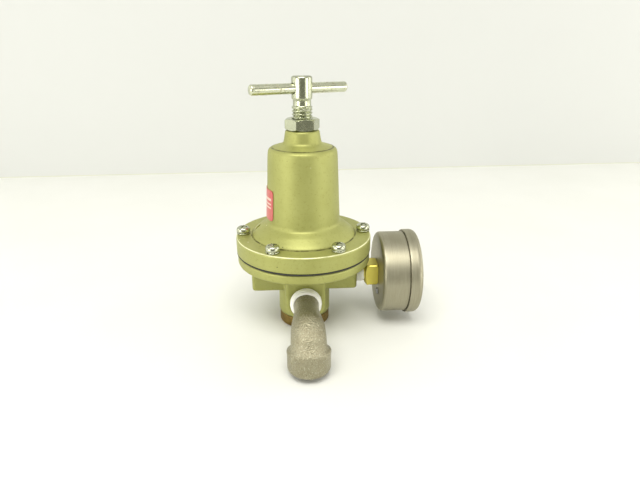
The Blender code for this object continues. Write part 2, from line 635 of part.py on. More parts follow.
def hex_nut(name, across_flats, bottom, top, bore, slot, turn_deg=0.0):
    """A hexagon with both ends chamfered and a plain bore."""
    reach = hexagon_radius(across_flats)
    chamfer = reach - across_flats / 2
    middle = (bottom + top) / 2
    nut = turned(name, [
        (bore, top),
        (across_flats / 2, top),
        (reach, top - chamfer * 0.7),
        (reach, bottom + chamfer * 0.7),
        (across_flats / 2, bottom),
        (bore, bottom),
    ], slot, steps=MIDDLE_TURN, ring=True)
    outline = [(x, y) for x, y, _ in round_points(6, reach * 1.0001, turn_deg)]
    hexagon = prism(name + "_hexagon", outline, (top - bottom) * 1.2, None)
    hexagon.location = (0.0, 0.0, middle - (top - bottom) * 0.6)
    return combine(nut, "INTERSECT", hexagon)


def make_adjusting_screw():
    nose_height = BUTTON_TOP - BUTTON_DIMPLE_DEPTH + SEAT_GAP
    nose_taper = THREAD_RADIUS - SCREW_NOSE_RADIUS
    thread_top = LOCK_NUT_TOP + SCREW_THREAD_ABOVE_NUT
    screw = turned("adjusting_screw", [
        (0.0, SCREW_TOP),
        (SCREW_HEAD_RADIUS - HEAD_CHAMFER, SCREW_TOP),
        (SCREW_HEAD_RADIUS, SCREW_TOP - HEAD_CHAMFER),
        (SCREW_HEAD_RADIUS, SCREW_HEAD_BOTTOM + 0.3 * MM),
        (SCREW_HEAD_RADIUS - 0.3 * MM, SCREW_HEAD_BOTTOM),
        (SCREW_NECK_RADIUS, SCREW_HEAD_BOTTOM),
        (SCREW_NECK_RADIUS, thread_top),
        (THREAD_RADIUS, thread_top - 0.8 * MM),
        (THREAD_RADIUS, nose_height + nose_taper),
        (SCREW_NOSE_RADIUS, nose_height),
        (0.0, nose_height),
    ], "zinc_plate", steps=MIDDLE_TURN)
    bar_height = SCREW_TOP - TOMMY_BAR_BELOW_TOP
    turn = math.radians(TOMMY_BAR_ANGLE_DEG)
    along = Vector((math.cos(turn), math.sin(turn), 0.0))
    middle = Vector((0.0, 0.0, bar_height)) - along * TOMMY_BAR_OFFSET
    hole = cylinder("bar_hole", TOMMY_BAR_RADIUS + SIDE_GAP, middle - along * 12 * MM,
                    middle + along * 15 * MM, steps=MIDDLE_TURN)
    combine(screw, "DIFFERENCE", hole)
    half = along * TOMMY_BAR_LENGTH / 2
    bar = cylinder("tommy_bar", TOMMY_BAR_RADIUS, middle - half, middle + half,
                   "zinc_plate", steps=MIDDLE_TURN)
    bevel(bar, 0.6 * MM)


def make_spring_button():
    spigot_bottom = BUTTON_BOTTOM - SPRING_SPIGOT_HEIGHT
    dimple_radius = SCREW_NOSE_RADIUS + 1.2 * MM
    turned("spring_button", [
        (0.0, BUTTON_TOP - BUTTON_DIMPLE_DEPTH),
        (dimple_radius, BUTTON_TOP - BUTTON_DIMPLE_DEPTH),
        (dimple_radius + BUTTON_DIMPLE_DEPTH, BUTTON_TOP),
        (BUTTON_RADIUS - 0.6 * MM, BUTTON_TOP),
        (BUTTON_RADIUS, BUTTON_TOP - 0.6 * MM),
        (BUTTON_RADIUS, BUTTON_BOTTOM),
        (SPRING_SPIGOT_RADIUS, BUTTON_BOTTOM),
        (SPRING_SPIGOT_RADIUS - 0.8 * MM, spigot_bottom),
        (0.0, spigot_bottom),
    ], "zinc_plate", steps=MIDDLE_TURN)


def make_diaphragm_stack():
    plate_bore = STUD_RADIUS + SIDE_GAP
    turned("diaphragm_plate", [
        (plate_bore, PLATE_TOP),
        (SPRING_SPIGOT_RADIUS - 2.4 * MM, PLATE_TOP),
        (SPRING_SPIGOT_RADIUS - 2.0 * MM, PLATE_TOP + SPRING_SPIGOT_HEIGHT),
        (SPRING_SPIGOT_RADIUS - 0.4 * MM, PLATE_TOP + SPRING_SPIGOT_HEIGHT),
        (SPRING_SPIGOT_RADIUS, PLATE_TOP),
        (PLATE_RADIUS - 1 * MM, PLATE_TOP),
        (PLATE_RADIUS, PLATE_TOP - 1 * MM),
        (PLATE_RADIUS, PLATE_BOTTOM),
        (plate_bore, PLATE_BOTTOM),
    ], "zinc_plate", steps=MIDDLE_TURN, ring=True)
    stud_nut_bottom = PLATE_TOP + SEAT_GAP
    stud_nut_top = stud_nut_bottom + STUD_NUT_HEIGHT
    hex_nut("diaphragm_nut", STUD_NUT_ACROSS_FLATS, stud_nut_bottom, stud_nut_top,
            STUD_RADIUS + SIDE_GAP, "zinc_plate")
    turned("diaphragm_retainer", [
        (0.0, stud_nut_top + 1.2 * MM),
        (STUD_RADIUS - 0.4 * MM, stud_nut_top + 1.2 * MM),
        (STUD_RADIUS, stud_nut_top + 0.8 * MM),
        (STUD_RADIUS, RETAINER_TOP),
        (RETAINER_RADIUS, RETAINER_TOP),
        (RETAINER_RADIUS, RETAINER_BOTTOM),
        (PUSHER_RADIUS, RETAINER_BOTTOM),
        (PUSHER_RADIUS, PUSHER_BOTTOM),
        (0.0, PUSHER_BOTTOM),
    ], "brass", steps=MIDDLE_TURN)
    coil_radius = SPRING_SPIGOT_RADIUS + 0.5 * MM + RANGE_SPRING_WIRE_RADIUS
    coil("range_spring", coil_radius, RANGE_SPRING_WIRE_RADIUS, PLATE_TOP + SEAT_GAP,
         BUTTON_BOTTOM - SEAT_GAP, RANGE_SPRING_TURNS, "spring_steel", FINE_TURN)


def make_valve():
    ring_bottom = SEAT_LEDGE_HEIGHT + SEAT_LEDGE_THICKNESS + SEAT_GAP
    lip_radius = SEAT_BORE_RADIUS + SEAT_LIP_WIDTH
    turned("seat_ring", [
        (SEAT_BORE_RADIUS, ring_bottom + SEAT_RING_HEIGHT),
        (SEAT_RING_RADIUS - 0.5 * MM, ring_bottom + SEAT_RING_HEIGHT),
        (SEAT_RING_RADIUS, ring_bottom + SEAT_RING_HEIGHT - 0.5 * MM),
        (SEAT_RING_RADIUS, ring_bottom),
        (lip_radius, ring_bottom),
        (lip_radius - 0.3 * MM, SEAT_LIP_BOTTOM),
        (SEAT_BORE_RADIUS, SEAT_LIP_BOTTOM),
    ], "brass", steps=MIDDLE_TURN, ring=True)

    cup_floor = POPPET_TOP - VALVE_DISC_THICKNESS
    cup_bore = POPPET_RADIUS - 1.0 * MM
    turned("valve_poppet", [
        (0.0, PUSHER_BOTTOM - SEAT_GAP),
        (VALVE_STEM_RADIUS, PUSHER_BOTTOM - SEAT_GAP),
        (VALVE_STEM_RADIUS, cup_floor),
        (cup_bore, cup_floor),
        (cup_bore, POPPET_TOP - 0.4 * MM),
        (POPPET_RADIUS, POPPET_TOP - 0.4 * MM),
        (POPPET_RADIUS, POPPET_BOTTOM),
        (POPPET_PILOT_RADIUS, POPPET_BOTTOM),
        (POPPET_PILOT_RADIUS - 0.4 * MM, POPPET_BOTTOM - POPPET_PILOT_LENGTH),
        (0.0, POPPET_BOTTOM - POPPET_PILOT_LENGTH),
    ], "brass", steps=MIDDLE_TURN)
    turned("valve_disc", [
        (VALVE_STEM_RADIUS + SIDE_GAP, POPPET_TOP),
        (cup_bore - SIDE_GAP, POPPET_TOP),
        (cup_bore - SIDE_GAP, cup_floor + SEAT_GAP),
        (VALVE_STEM_RADIUS + SIDE_GAP, cup_floor + SEAT_GAP),
    ], "black_rubber", steps=MIDDLE_TURN, ring=True)
    coil("valve_spring", POPPET_PILOT_RADIUS + 0.4 * MM + VALVE_SPRING_WIRE_RADIUS,
         VALVE_SPRING_WIRE_RADIUS, PLUG_POCKET_FLOOR + SEAT_GAP, POPPET_BOTTOM - SEAT_GAP,
         VALVE_SPRING_TURNS, "spring_steel", 8)


def make_bottom_plug():
    groove_low = PLUG_DISC_HEIGHT + 1.2 * MM
    groove_high = groove_low + 2 * SEAL_WIRE_RADIUS + 2 * SEAT_GAP
    groove_radius = PLUG_THREAD_RADIUS + SIDE_GAP - 2 * SEAL_WIRE_RADIUS - 2 * SEAT_GAP
    thread_top = PLUG_DISC_HEIGHT + PLUG_THREAD_HEIGHT
    plug = turned("bottom_plug", [
        (0.0, PLUG_POCKET_FLOOR),
        (PLUG_POCKET_RADIUS, PLUG_POCKET_FLOOR),
        (PLUG_POCKET_RADIUS, thread_top),
        (PLUG_THREAD_RADIUS - 0.5 * MM, thread_top),
        (PLUG_THREAD_RADIUS, thread_top - 0.5 * MM),
        (PLUG_THREAD_RADIUS, groove_high),
        (groove_radius, groove_high),
        (groove_radius, groove_low),
        (PLUG_THREAD_RADIUS, groove_low),
        (PLUG_THREAD_RADIUS, PLUG_DISC_HEIGHT),
        (PLUG_RADIUS - 0.5 * MM, PLUG_DISC_HEIGHT),
        (PLUG_RADIUS, PLUG_DISC_HEIGHT - 0.5 * MM),
        (PLUG_RADIUS, 0.5 * MM),
        (PLUG_RADIUS - 0.5 * MM, 0.0),
        (0.0, 0.0),
    ], "bronze")
    for side in (-1, 1):
        place = side * SPANNER_HOLE_PITCH_RADIUS
        hole = cylinder(f"spanner_hole_{1 if side < 0 else 2}", SPANNER_HOLE_RADIUS,
                        (place, 0, -1 * MM), (place, 0, SPANNER_HOLE_DEPTH), steps=FINE_TURN)
        combine(plug, "DIFFERENCE", hole)
    seal_middle = (groove_low + groove_high) / 2
    seal_centre = (groove_radius + SEAT_GAP + SEAL_WIRE_RADIUS, seal_middle)
    turned("plug_seal", arc(seal_centre, SEAL_WIRE_RADIUS, 180.0, -120.0, 5),
           "black_rubber", steps=MIDDLE_TURN, ring=True)


def make_nameplate():
    """A sheet bent round the tapered barrel, with rounded corners, facing -X."""
    taper = (BARREL_FOOT_RADIUS - BARREL_TOP_RADIUS) / BARREL_HEIGHT
    low = BARREL_FOOT + NAMEPLATE_FOOT
    middle = low + NAMEPLATE_HEIGHT / 2
    columns = 16
    rows = 4
    bm = bmesh.new()
    grid = []
    for i in range(columns + 1):
        across = -math.cos(math.pi * i / columns) * NAMEPLATE_WIDTH / 2
        into_corner = max(0.0, abs(across) - (NAMEPLATE_WIDTH / 2 - NAMEPLATE_CORNER))
        lost = NAMEPLATE_CORNER - math.sqrt(max(0.0, NAMEPLATE_CORNER ** 2 - into_corner ** 2))
        half = NAMEPLATE_HEIGHT / 2 - lost
        line = []
        for j in range(rows + 1):
            height = middle + half * (2.0 * j / rows - 1.0)
            radius = BARREL_FOOT_RADIUS - taper * (height - BARREL_FOOT) + SEAT_GAP
            angle = math.pi + across / BARREL_FOOT_RADIUS
            line.append(bm.verts.new((radius * math.cos(angle), radius * math.sin(angle),
                                      height)))
        grid.append(line)
    for near, far in zip(grid, grid[1:]):
        for j in range(rows):
            bm.faces.new((near[j], far[j], far[j + 1], near[j + 1]))
    plate = object_of(bm, "nameplate", "red_plate")
    solidify = plate.modifiers.new("thickness", "SOLIDIFY")
    solidify.thickness = NAMEPLATE_THICKNESS
    solidify.offset = 1.0
    return plate


def swept_shell(name, stations, slot, steps):
    """Rings of (centre, facing, radius) joined outside and then back along the inside."""
    bm = bmesh.new()
    rings = []
    side = Vector((1.0, 0.0, 0.0))
    for centre, facing, radius in stations:
        up = side.cross(Vector(facing))
        rings.append([bm.verts.new(Vector(centre) + radius * (math.cos(a) * side
                                                              + math.sin(a) * up))
                      for a in (math.tau * k / steps for k in range(steps))])
    for near, far in zip(rings, rings[1:] + rings[:1]):
        for k in range(steps):
            bm.faces.new((near[k], near[(k + 1) % steps], far[(k + 1) % steps], far[k]))
    bmesh.ops.recalc_face_normals(bm, faces=bm.faces)
    return object_of(bm, name, slot)


def elbow_station(distance, radius, start, first_leg):
    """A ring on the elbow's centre line: along -Y, round the bend, then down."""
    turn = (distance - first_leg) / ELBOW_BEND_RADIUS
    if turn <= 0.0:
        return (0.0, start - distance, PORT_AXIS), (0.0, -1.0, 0.0), radius
    bend_y = start - first_leg
    if turn >= math.pi / 2:
        below = distance - first_leg - ELBOW_BEND_RADIUS * math.pi / 2
        return ((0.0, bend_y - ELBOW_BEND_RADIUS, PORT_AXIS - ELBOW_BEND_RADIUS - below),
                (0.0, 0.0, -1.0), radius)
    return ((0.0, bend_y - ELBOW_BEND_RADIUS * math.sin(turn),
             PORT_AXIS - ELBOW_BEND_RADIUS * (1.0 - math.cos(turn))),
            (0.0, -math.cos(turn), -math.sin(turn)), radius)


def make_elbow():
    start = -(PAD_REACH - PORT_DEPTH) - 1.2 * MM
    first_leg = ELBOW_SOCKET_REACH + start - ELBOW_BEND_RADIUS
    bend = ELBOW_BEND_RADIUS * math.pi / 2
    last_leg = PORT_AXIS - ELBOW_BEND_RADIUS - ELBOW_MOUTH_HEIGHT
    end = first_leg + bend + last_leg
    face = PAD_REACH + start
    band_start = end - ELBOW_BAND_HEIGHT
    outer = [
        (0.0, PIPE_RADIUS - 0.7 * MM),
        (1.0 * MM, PIPE_RADIUS - 0.25 * MM),
        (face + 1.0 * MM, PIPE_RADIUS),
        (face + 4.0 * MM, ELBOW_NECK_RADIUS),
        (face + 10.0 * MM, ELBOW_NECK_RADIUS + 0.1 * MM),
    ]
    heel_from = face + 13.0 * MM
    heel_to = band_start - 2.6 * MM
    for i in range(9):
        share = i / 8
        ease = share * share * (3.0 - 2.0 * share)
        outer.append((heel_from + (heel_to - heel_from) * share,
                      ELBOW_NECK_RADIUS + 0.3 * MM
                      + (ELBOW_HEEL_RADIUS - ELBOW_NECK_RADIUS - 0.3 * MM) * ease))
    outer += [
        (band_start - 0.4 * MM, ELBOW_BAND_RADIUS - 0.7 * MM),
        (band_start + 0.6 * MM, ELBOW_BAND_RADIUS + 0.15 * MM),
        (band_start + 1.6 * MM, ELBOW_BAND_RADIUS),
        (end - 0.8 * MM, ELBOW_BAND_RADIUS),
        (end, ELBOW_BAND_RADIUS - 0.6 * MM),
    ]
    socket_floor = end - ELBOW_SOCKET_DEPTH
    inner = [(end, PIPE_RADIUS + 0.6 * MM), (end - 0.8 * MM, PIPE_RADIUS),
             (socket_floor, PIPE_RADIUS - 0.2 * MM), (socket_floor - 0.4 * MM, ELBOW_BORE_RADIUS)]
    for i in range(6, -1, -1):
        inner.append((first_leg + (socket_floor - 1.0 * MM - first_leg) * i / 6,
                      ELBOW_BORE_RADIUS))
    inner.append((0.0, ELBOW_BORE_RADIUS))
    stations = [elbow_station(distance, radius, start, first_leg)
                for distance, radius in outer + inner]
    swept_shell("elbow", stations, "cast_stainless", MIDDLE_TURN)

    tape = turned("elbow_tape", [
        (PIPE_RADIUS + SIDE_GAP, ELBOW_TAPE_WIDTH),
        (ELBOW_TAPE_RADIUS - 1.1 * MM, ELBOW_TAPE_WIDTH),
        (ELBOW_TAPE_RADIUS, ELBOW_TAPE_WIDTH * 0.6),
        (ELBOW_TAPE_RADIUS, 0.4 * MM),
        (ELBOW_TAPE_RADIUS - 0.3 * MM, 0.0),
        (PIPE_RADIUS + SIDE_GAP, 0.0),
    ], "white_tape", steps=MIDDLE_TURN, ring=True)
    tape.rotation_euler = (math.radians(90.0), 0.0, 0.0)
    tape.location = (0.0, -PAD_REACH - SEAT_GAP, PORT_AXIS)


def make_port_plug():
    outer = -WING_LENGTH + PORT_PLUG_RECESS
    inner = -WING_LENGTH + GAUGE_PORT_DEPTH - 1.0 * MM
    plug = cylinder("port_plug", GAUGE_PIPE_RADIUS, (outer, 0, GAUGE_AXIS),
                    (inner, 0, GAUGE_AXIS), "zinc_plate", steps=MIDDLE_TURN)
    outline = [(x, y) for x, y, _ in
               round_points(6, hexagon_radius(PORT_PLUG_SOCKET_FLATS), 30.0)]
    socket = prism("plug_socket", outline, PORT_PLUG_SOCKET_DEPTH + 1 * MM, None)
    along_x(socket)
    socket.location.x = outer - 1 * MM
    return combine(plug, "DIFFERENCE", socket)


def make_gauge_socket():
    """The gauge's brass stem: threaded shank, wrench square and the block inside the case."""
    half = SOCKET_SQUARE / 2
    square = box("gauge_socket", (SQUARE_START, -half, GAUGE_AXIS - half),
                 (SQUARE_START + SOCKET_SQUARE_LENGTH, half, GAUGE_AXIS + half), "brass")
    chamfer = along_x(turned("square_chamfer", [
        (0.0, SQUARE_START + SOCKET_SQUARE_LENGTH + 1 * MM),
        (half * 2, SQUARE_START + SOCKET_SQUARE_LENGTH + 1 * MM),
        (half * 2, SQUARE_START + half * 0.95),
        (half * 0.98, SQUARE_START - 0.01 * MM),
        (0.0, SQUARE_START - 0.01 * MM),
    ], None))
    shank_end = WING_LENGTH - GAUGE_PORT_DEPTH + 1.0 * MM
    shank = cylinder("gauge_shank", GAUGE_PIPE_RADIUS, (shank_end, 0, GAUGE_AXIS),
                     (SQUARE_START + 1 * MM, 0, GAUGE_AXIS), steps=MIDDLE_TURN)
    boss = cylinder("gauge_boss", GAUGE_BOSS_RADIUS, (SQUARE_START + 1 * MM, 0, GAUGE_AXIS),
                    (MOVEMENT_BACK - SEAT_GAP, 0, GAUGE_AXIS), steps=SMALL_TURN)
    foot = GAUGE_AXIS - TUBE_LOOP_RADIUS - TUBE_RADIUS
    block = box("tube_block", (CASE_BACK + CASE_WALL + 1.2 * MM, -3 * MM, foot),
                (MOVEMENT_BACK - SEAT_GAP - 0.1 * MM, 3 * MM, GAUGE_AXIS))
    combine(square, "INTERSECT", chamfer)
    combine(square, "UNION", shank, boss, block)
    hole = cylinder("gauge_hole", 1.3 * MM, (shank_end - 1 * MM, 0, GAUGE_AXIS),
                    (CASE_BACK, 0, GAUGE_AXIS), steps=FINE_TURN)
    return combine(square, "DIFFERENCE", hole)


def make_gauge_case():
    boss_hole = GAUGE_BOSS_RADIUS + SIDE_GAP
    along_x(turned("gauge_tape", [
        (GAUGE_PIPE_RADIUS + 0.1 * MM, SQUARE_START - 0.6 * MM),
        (GAUGE_TAPE_RADIUS - 0.2 * MM, SQUARE_START - 0.6 * MM),
        (GAUGE_TAPE_RADIUS, SQUARE_START - 2.0 * MM),
        (GAUGE_TAPE_RADIUS, WING_LENGTH + SEAT_GAP),
        (GAUGE_PIPE_RADIUS + 0.1 * MM, WING_LENGTH + SEAT_GAP),
    ], "white_tape", steps=MIDDLE_TURN, ring=True))
    case = along_x(turned("gauge_case", [
        (CASE_BORE_RADIUS, CASE_FRONT),
        (CASE_RADIUS, CASE_FRONT),
        *arc((CASE_RADIUS - CASE_CORNER, CASE_BACK + CASE_CORNER), CASE_CORNER, 0.0, -90.0, 3),
        (boss_hole, CASE_BACK),
        (boss_hole, CASE_BACK + CASE_WALL),
        (CASE_BORE_RADIUS, CASE_BACK + CASE_WALL),
    ], "stainless_case", ring=True))
    for number, turn_deg in enumerate(CASE_SCREW_ANGLES_DEG, start=1):
        turn = math.radians(turn_deg)
        y = CASE_SCREW_CIRCLE_RADIUS * math.sin(turn)
        z = GAUGE_AXIS + CASE_SCREW_CIRCLE_RADIUS * math.cos(turn)
        hole = cylinder(f"case_screw_hole_{number}", CASE_SCREW_RADIUS + SIDE_GAP,
                        (CASE_BACK - 1 * MM, y, z), (CASE_BACK + 3 * MM, y, z), steps=14)
        combine(case, "DIFFERENCE", hole)
        head = -SEAT_GAP - CASE_SCREW_HEAD_HEIGHT
        screw = along_x(turned(f"case_screw_{number}", [
            (0.0, CASE_WALL + 2.0 * MM),
            (CASE_SCREW_RADIUS, CASE_WALL + 2.0 * MM),
            (CASE_SCREW_RADIUS, -SEAT_GAP),
            (CASE_SCREW_HEAD_RADIUS, -SEAT_GAP),
            (CASE_SCREW_HEAD_RADIUS - 0.5 * MM, head),
            (0.9 * MM, head),
            (0.0, head + 0.8 * MM),
        ], "spring_steel", steps=FINE_TURN))
        screw.location = (CASE_BACK, y, z)


def make_gauge_front():
    skirt = CASE_RADIUS + SIDE_GAP
    lip_back = BEZEL_FRONT - BEZEL_LIP_THICKNESS
    lens_back = lip_back - SEAT_GAP - LENS_THICKNESS
    along_x(turned("gauge_bezel", [
        (BEZEL_RADIUS - BEZEL_LIP - 1.2 * MM, BEZEL_FRONT),
        *arc((BEZEL_RADIUS - 2.2 * MM, BEZEL_FRONT - 2.2 * MM), 2.2 * MM, 90.0, 0.0, 4),
        (BEZEL_RADIUS, BEZEL_BACK + 0.4 * MM),
        (BEZEL_RADIUS - 0.3 * MM, BEZEL_BACK),
        (skirt, BEZEL_BACK),
        (skirt, lip_back),
        (BEZEL_RADIUS - BEZEL_LIP - 1.2 * MM, lip_back),
    ], "stainless_case", ring=True))
    along_x(turned("gauge_lens", [
        (0.0, lens_back + LENS_THICKNESS),
        (skirt - SIDE_GAP, lens_back + LENS_THICKNESS),
        (skirt - SIDE_GAP, lens_back),
        (0.0, lens_back),
    ], "clear_lens"))
    along_x(turned("gauge_dial", [
        (SPINDLE_RADIUS + SIDE_GAP, DIAL_FACE),
        (CASE_BORE_RADIUS - SIDE_GAP, DIAL_FACE),
        (CASE_BORE_RADIUS - SIDE_GAP, DIAL_FACE - DIAL_THICKNESS),
        (SPINDLE_RADIUS + SIDE_GAP, DIAL_FACE - DIAL_THICKNESS),
    ], "dial_white", ring=True))


def make_movement():
    plate_front = MOVEMENT_BACK + MOVEMENT_PLATE_THICKNESS
    pivot = GAUGE_AXIS - SECTOR_PIVOT_DROP
    plate = box("movement_plate", (MOVEMENT_BACK, -7 * MM, pivot - 4.4 * MM),
                (plate_front, 7 * MM, GAUGE_AXIS + 9 * MM), "brass")
    pillar_top = DIAL_FACE - DIAL_THICKNESS - SEAT_GAP
    for y in (-5.4 * MM, 5.4 * MM):
        pillar = cylinder("pillar_left" if y < 0 else "pillar_right", 1.3 * MM,
                          (plate_front - 0.5 * MM, y, GAUGE_AXIS + 7 * MM),
                          (pillar_top, y, GAUGE_AXIS + 7 * MM), steps=FINE_TURN)
        combine(plate, "UNION", pillar)
    for name, height in (("spindle_hole", GAUGE_AXIS), ("pivot_hole", pivot)):
        hole = cylinder(name, SPINDLE_RADIUS + 0.1 * MM, (MOVEMENT_BACK - 1 * MM, 0, height),
                        (plate_front + 1 * MM, 0, height), steps=FINE_TURN)
        combine(plate, "DIFFERENCE", hole)

    pinion_back = plate_front + 1.0 * MM
    hub = DIAL_FACE + 0.8 * MM
    along_x(turned("gauge_pinion", [
        (0.0, hub - SEAT_GAP),
        (SPINDLE_RADIUS, hub - SEAT_GAP),
        (SPINDLE_RADIUS, pinion_back + PINION_LENGTH),
        (PINION_RADIUS, pinion_back + PINION_LENGTH),
        (PINION_RADIUS, pinion_back),
        (SPINDLE_RADIUS, pinion_back),
        (SPINDLE_RADIUS, MOVEMENT_BACK),
        (0.0, MOVEMENT_BACK),
    ], "brass", steps=FINE_TURN))
    make_sector(pivot, pinion_back + 0.6 * MM)
    make_pointer(hub)
    make_bourdon_tube(plate_front + TUBE_RADIUS + 0.6 * MM)


def make_sector(pivot, back):
    """A fan of gear rim above its pivot, with a short tail below for the link."""
    rim = SECTOR_PIVOT_DROP - PINION_RADIUS - SIDE_GAP
    half = math.radians(SECTOR_HALF_ANGLE_DEG)
    outline = [(-SECTOR_TAIL - 1.0 * MM, -1.0 * MM), (-SECTOR_TAIL - 1.0 * MM, 1.0 * MM),
               (-1.4 * MM, 1.8 * MM)]
    outline += [(rim * math.cos(a), rim * math.sin(a))
                for a in (half - 2.0 * half * i / 12 for i in range(13))]
    outline += [(-1.4 * MM, -1.8 * MM)]
    sector = prism("gauge_sector", outline[::-1], SECTOR_THICKNESS, "brass")
    # the fan's own +X becomes world +Z, and its thickness runs along +X
    upright = Matrix(((0, 0, 1, back), (0, -1, 0, 0), (1, 0, 0, pivot), (0, 0, 0, 1)))
    sector.matrix_world = upright @ Matrix.Rotation(-math.radians(SECTOR_REST_DEG), 4, "Z")
    pin = cylinder("sector_pin", SPINDLE_RADIUS, (MOVEMENT_BACK, 0, pivot),
                   (back + SECTOR_THICKNESS / 2, 0, pivot), steps=FINE_TURN)
    combine(sector, "UNION", pin)


def make_pointer(back):
    turn = math.radians(POINTER_REST_DEG)
    outline = [(-POINTER_TAIL, -1.3 * MM), (-POINTER_TAIL, 1.3 * MM), (0.0, 1.0 * MM),
               (POINTER_LENGTH - 2 * MM, 0.5 * MM), (POINTER_LENGTH, 0.0),
               (POINTER_LENGTH - 2 * MM, -0.5 * MM), (0.0, -1.0 * MM)]
    pointer = prism("gauge_pointer", outline[::-1], POINTER_THICKNESS, "pointer_black")
    along = Vector((0.0, math.sin(turn), math.cos(turn)))
    across = Vector((1.0, 0.0, 0.0)).cross(along)
    pointer.matrix_world = Matrix((
        (along.x, across.x, 1.0, back),
        (along.y, across.y, 0.0, 0.0),
        (along.z, across.z, 0.0, GAUGE_AXIS),
        (0.0, 0.0, 0.0, 1.0)))
    cap = cylinder("pointer_cap", 2.0 * MM, (back - 0.1 * MM, 0, GAUGE_AXIS),
                   (back + POINTER_THICKNESS + 0.3 * MM, 0, GAUGE_AXIS), steps=SMALL_TURN)
    combine(pointer, "UNION", cap)


def make_bourdon_tube(plane):
    """A C-shaped tube that leaves its block at the bottom and ends near the case's left."""
    steps = 26
    points = [(MOVEMENT_BACK + SEAT_GAP, 0.0, GAUGE_AXIS - TUBE_LOOP_RADIUS)]
    for i in range(steps + 1):
        angle = math.radians(-90.0 + TUBE_SWEEP_DEG * i / steps)
        points.append((plane, TUBE_LOOP_RADIUS * math.cos(angle),
                       GAUGE_AXIS + TUBE_LOOP_RADIUS * math.sin(angle)))
    wire("bourdon_tube", points, TUBE_RADIUS, "brass")


def main():
    global PARTS, CUTTERS
    for obj in list(bpy.data.objects):
        bpy.data.objects.remove(obj)
    PARTS = collection("water_pressure_regulator")
    CUTTERS = collection("cutters")
    make_materials()
    screw_holes = screw_hole_cutter()
    make_body(screw_holes)
    make_bonnet(screw_holes)
    make_diaphragm(screw_holes)
    make_flange_screws()
    hex_nut("lock_nut", LOCK_NUT_ACROSS_FLATS, LOCK_NUT_BOTTOM, LOCK_NUT_TOP,
            THREAD_RADIUS + SIDE_GAP, "zinc_plate", LOCK_NUT_ANGLE_DEG)
    make_adjusting_screw()
    make_spring_button()
    make_diaphragm_stack()
    make_valve()
    make_bottom_plug()
    make_nameplate()
    make_elbow()
    make_port_plug()
    make_gauge_socket()
    make_gauge_case()
    make_gauge_front()
    make_movement()


main()
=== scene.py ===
# %% [markdown]
# # Water pressure regulator
# A die-cast bonnet and body are clamped round a rubber diaphragm by six screws. A tee screw on top
# presses a spring down on the diaphragm, a street elbow leaves the front port, and a round gauge is
# screwed into the right-hand boss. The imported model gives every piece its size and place. This file
# makes the fine surfaces and the finishes round it.

import json
import math

import bmesh
import bpy
import numpy as np
from mathutils import Matrix, Vector

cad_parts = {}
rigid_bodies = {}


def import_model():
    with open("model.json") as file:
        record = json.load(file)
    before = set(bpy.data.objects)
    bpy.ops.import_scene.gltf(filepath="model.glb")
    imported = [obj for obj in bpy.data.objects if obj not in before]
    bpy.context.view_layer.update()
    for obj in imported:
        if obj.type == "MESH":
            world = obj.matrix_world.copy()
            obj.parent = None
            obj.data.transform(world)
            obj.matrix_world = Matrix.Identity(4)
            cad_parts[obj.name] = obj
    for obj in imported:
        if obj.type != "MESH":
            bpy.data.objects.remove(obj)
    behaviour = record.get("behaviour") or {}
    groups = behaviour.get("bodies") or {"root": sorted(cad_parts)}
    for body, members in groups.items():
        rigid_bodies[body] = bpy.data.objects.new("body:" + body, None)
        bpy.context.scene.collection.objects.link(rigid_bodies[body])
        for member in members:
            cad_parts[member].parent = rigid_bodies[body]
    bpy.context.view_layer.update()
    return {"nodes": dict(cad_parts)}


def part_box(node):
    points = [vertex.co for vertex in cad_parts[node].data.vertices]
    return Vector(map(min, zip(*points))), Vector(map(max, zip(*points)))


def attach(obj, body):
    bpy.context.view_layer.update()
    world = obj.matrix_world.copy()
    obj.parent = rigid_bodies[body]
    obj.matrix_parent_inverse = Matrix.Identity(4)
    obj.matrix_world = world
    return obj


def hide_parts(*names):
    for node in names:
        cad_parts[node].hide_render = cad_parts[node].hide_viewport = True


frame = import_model()
nodes = frame["nodes"]
MM = 0.001
BODY_FOOT = 4.2 * MM
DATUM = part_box("body")[0].z - BODY_FOOT    # heights below are measured from here, in the plug's disc


def new_object(name, data):
    """An object in the scene's own collection."""
    made = bpy.data.objects.new(name, data)
    bpy.context.scene.collection.objects.link(made)
    return made


# %% [markdown]
# ## Camera
# The regulator is seen from in front and above, about 21 degrees down, from a third of a metre away
# with a wide lens. The camera's place is a distance from the regulator's axis and a height from the
# datum, and it stands a little to the left of the elbow's own direction.

# %% Camera
CAMERA_DISTANCE = 312.7 * MM
CAMERA_HEIGHT = 175.8 * MM
CAMERA_SIDE_DEG = 1.9
CAMERA_PITCH_DEG = 21.24
CAMERA_YAW_DEG = 2.0
side = math.radians(CAMERA_SIDE_DEG)
heading = math.radians(CAMERA_SIDE_DEG + CAMERA_YAW_DEG)
pitch = math.radians(CAMERA_PITCH_DEG)
camera = new_object("camera", bpy.data.cameras.new("camera"))
camera.data.sensor_width = 36.0
camera.data.lens = 28.125
camera.data.clip_start = 0.01
camera.location = (-CAMERA_DISTANCE * math.sin(side), -CAMERA_DISTANCE * math.cos(side),
                   CAMERA_HEIGHT + DATUM)
looking = Vector((math.sin(heading) * math.cos(pitch), math.cos(heading) * math.cos(pitch),
                  -math.sin(pitch)))
camera.rotation_euler = looking.to_track_quat("-Z", "Y").to_euler()
bpy.context.scene.camera = camera
bpy.context.scene.view_settings.view_transform = "Standard"
print("camera at", [round(c / MM) for c in camera.location], "mm")

# %% [markdown]
# ## Shader sums
# Procedural finishes are sums of masks and noises. Building them node by node hides the sum, so one
# small class wraps an output socket and turns Python's operators into Math nodes. Its `node` method
# adds any other node: the settings come first, then the values or links of the sockets.


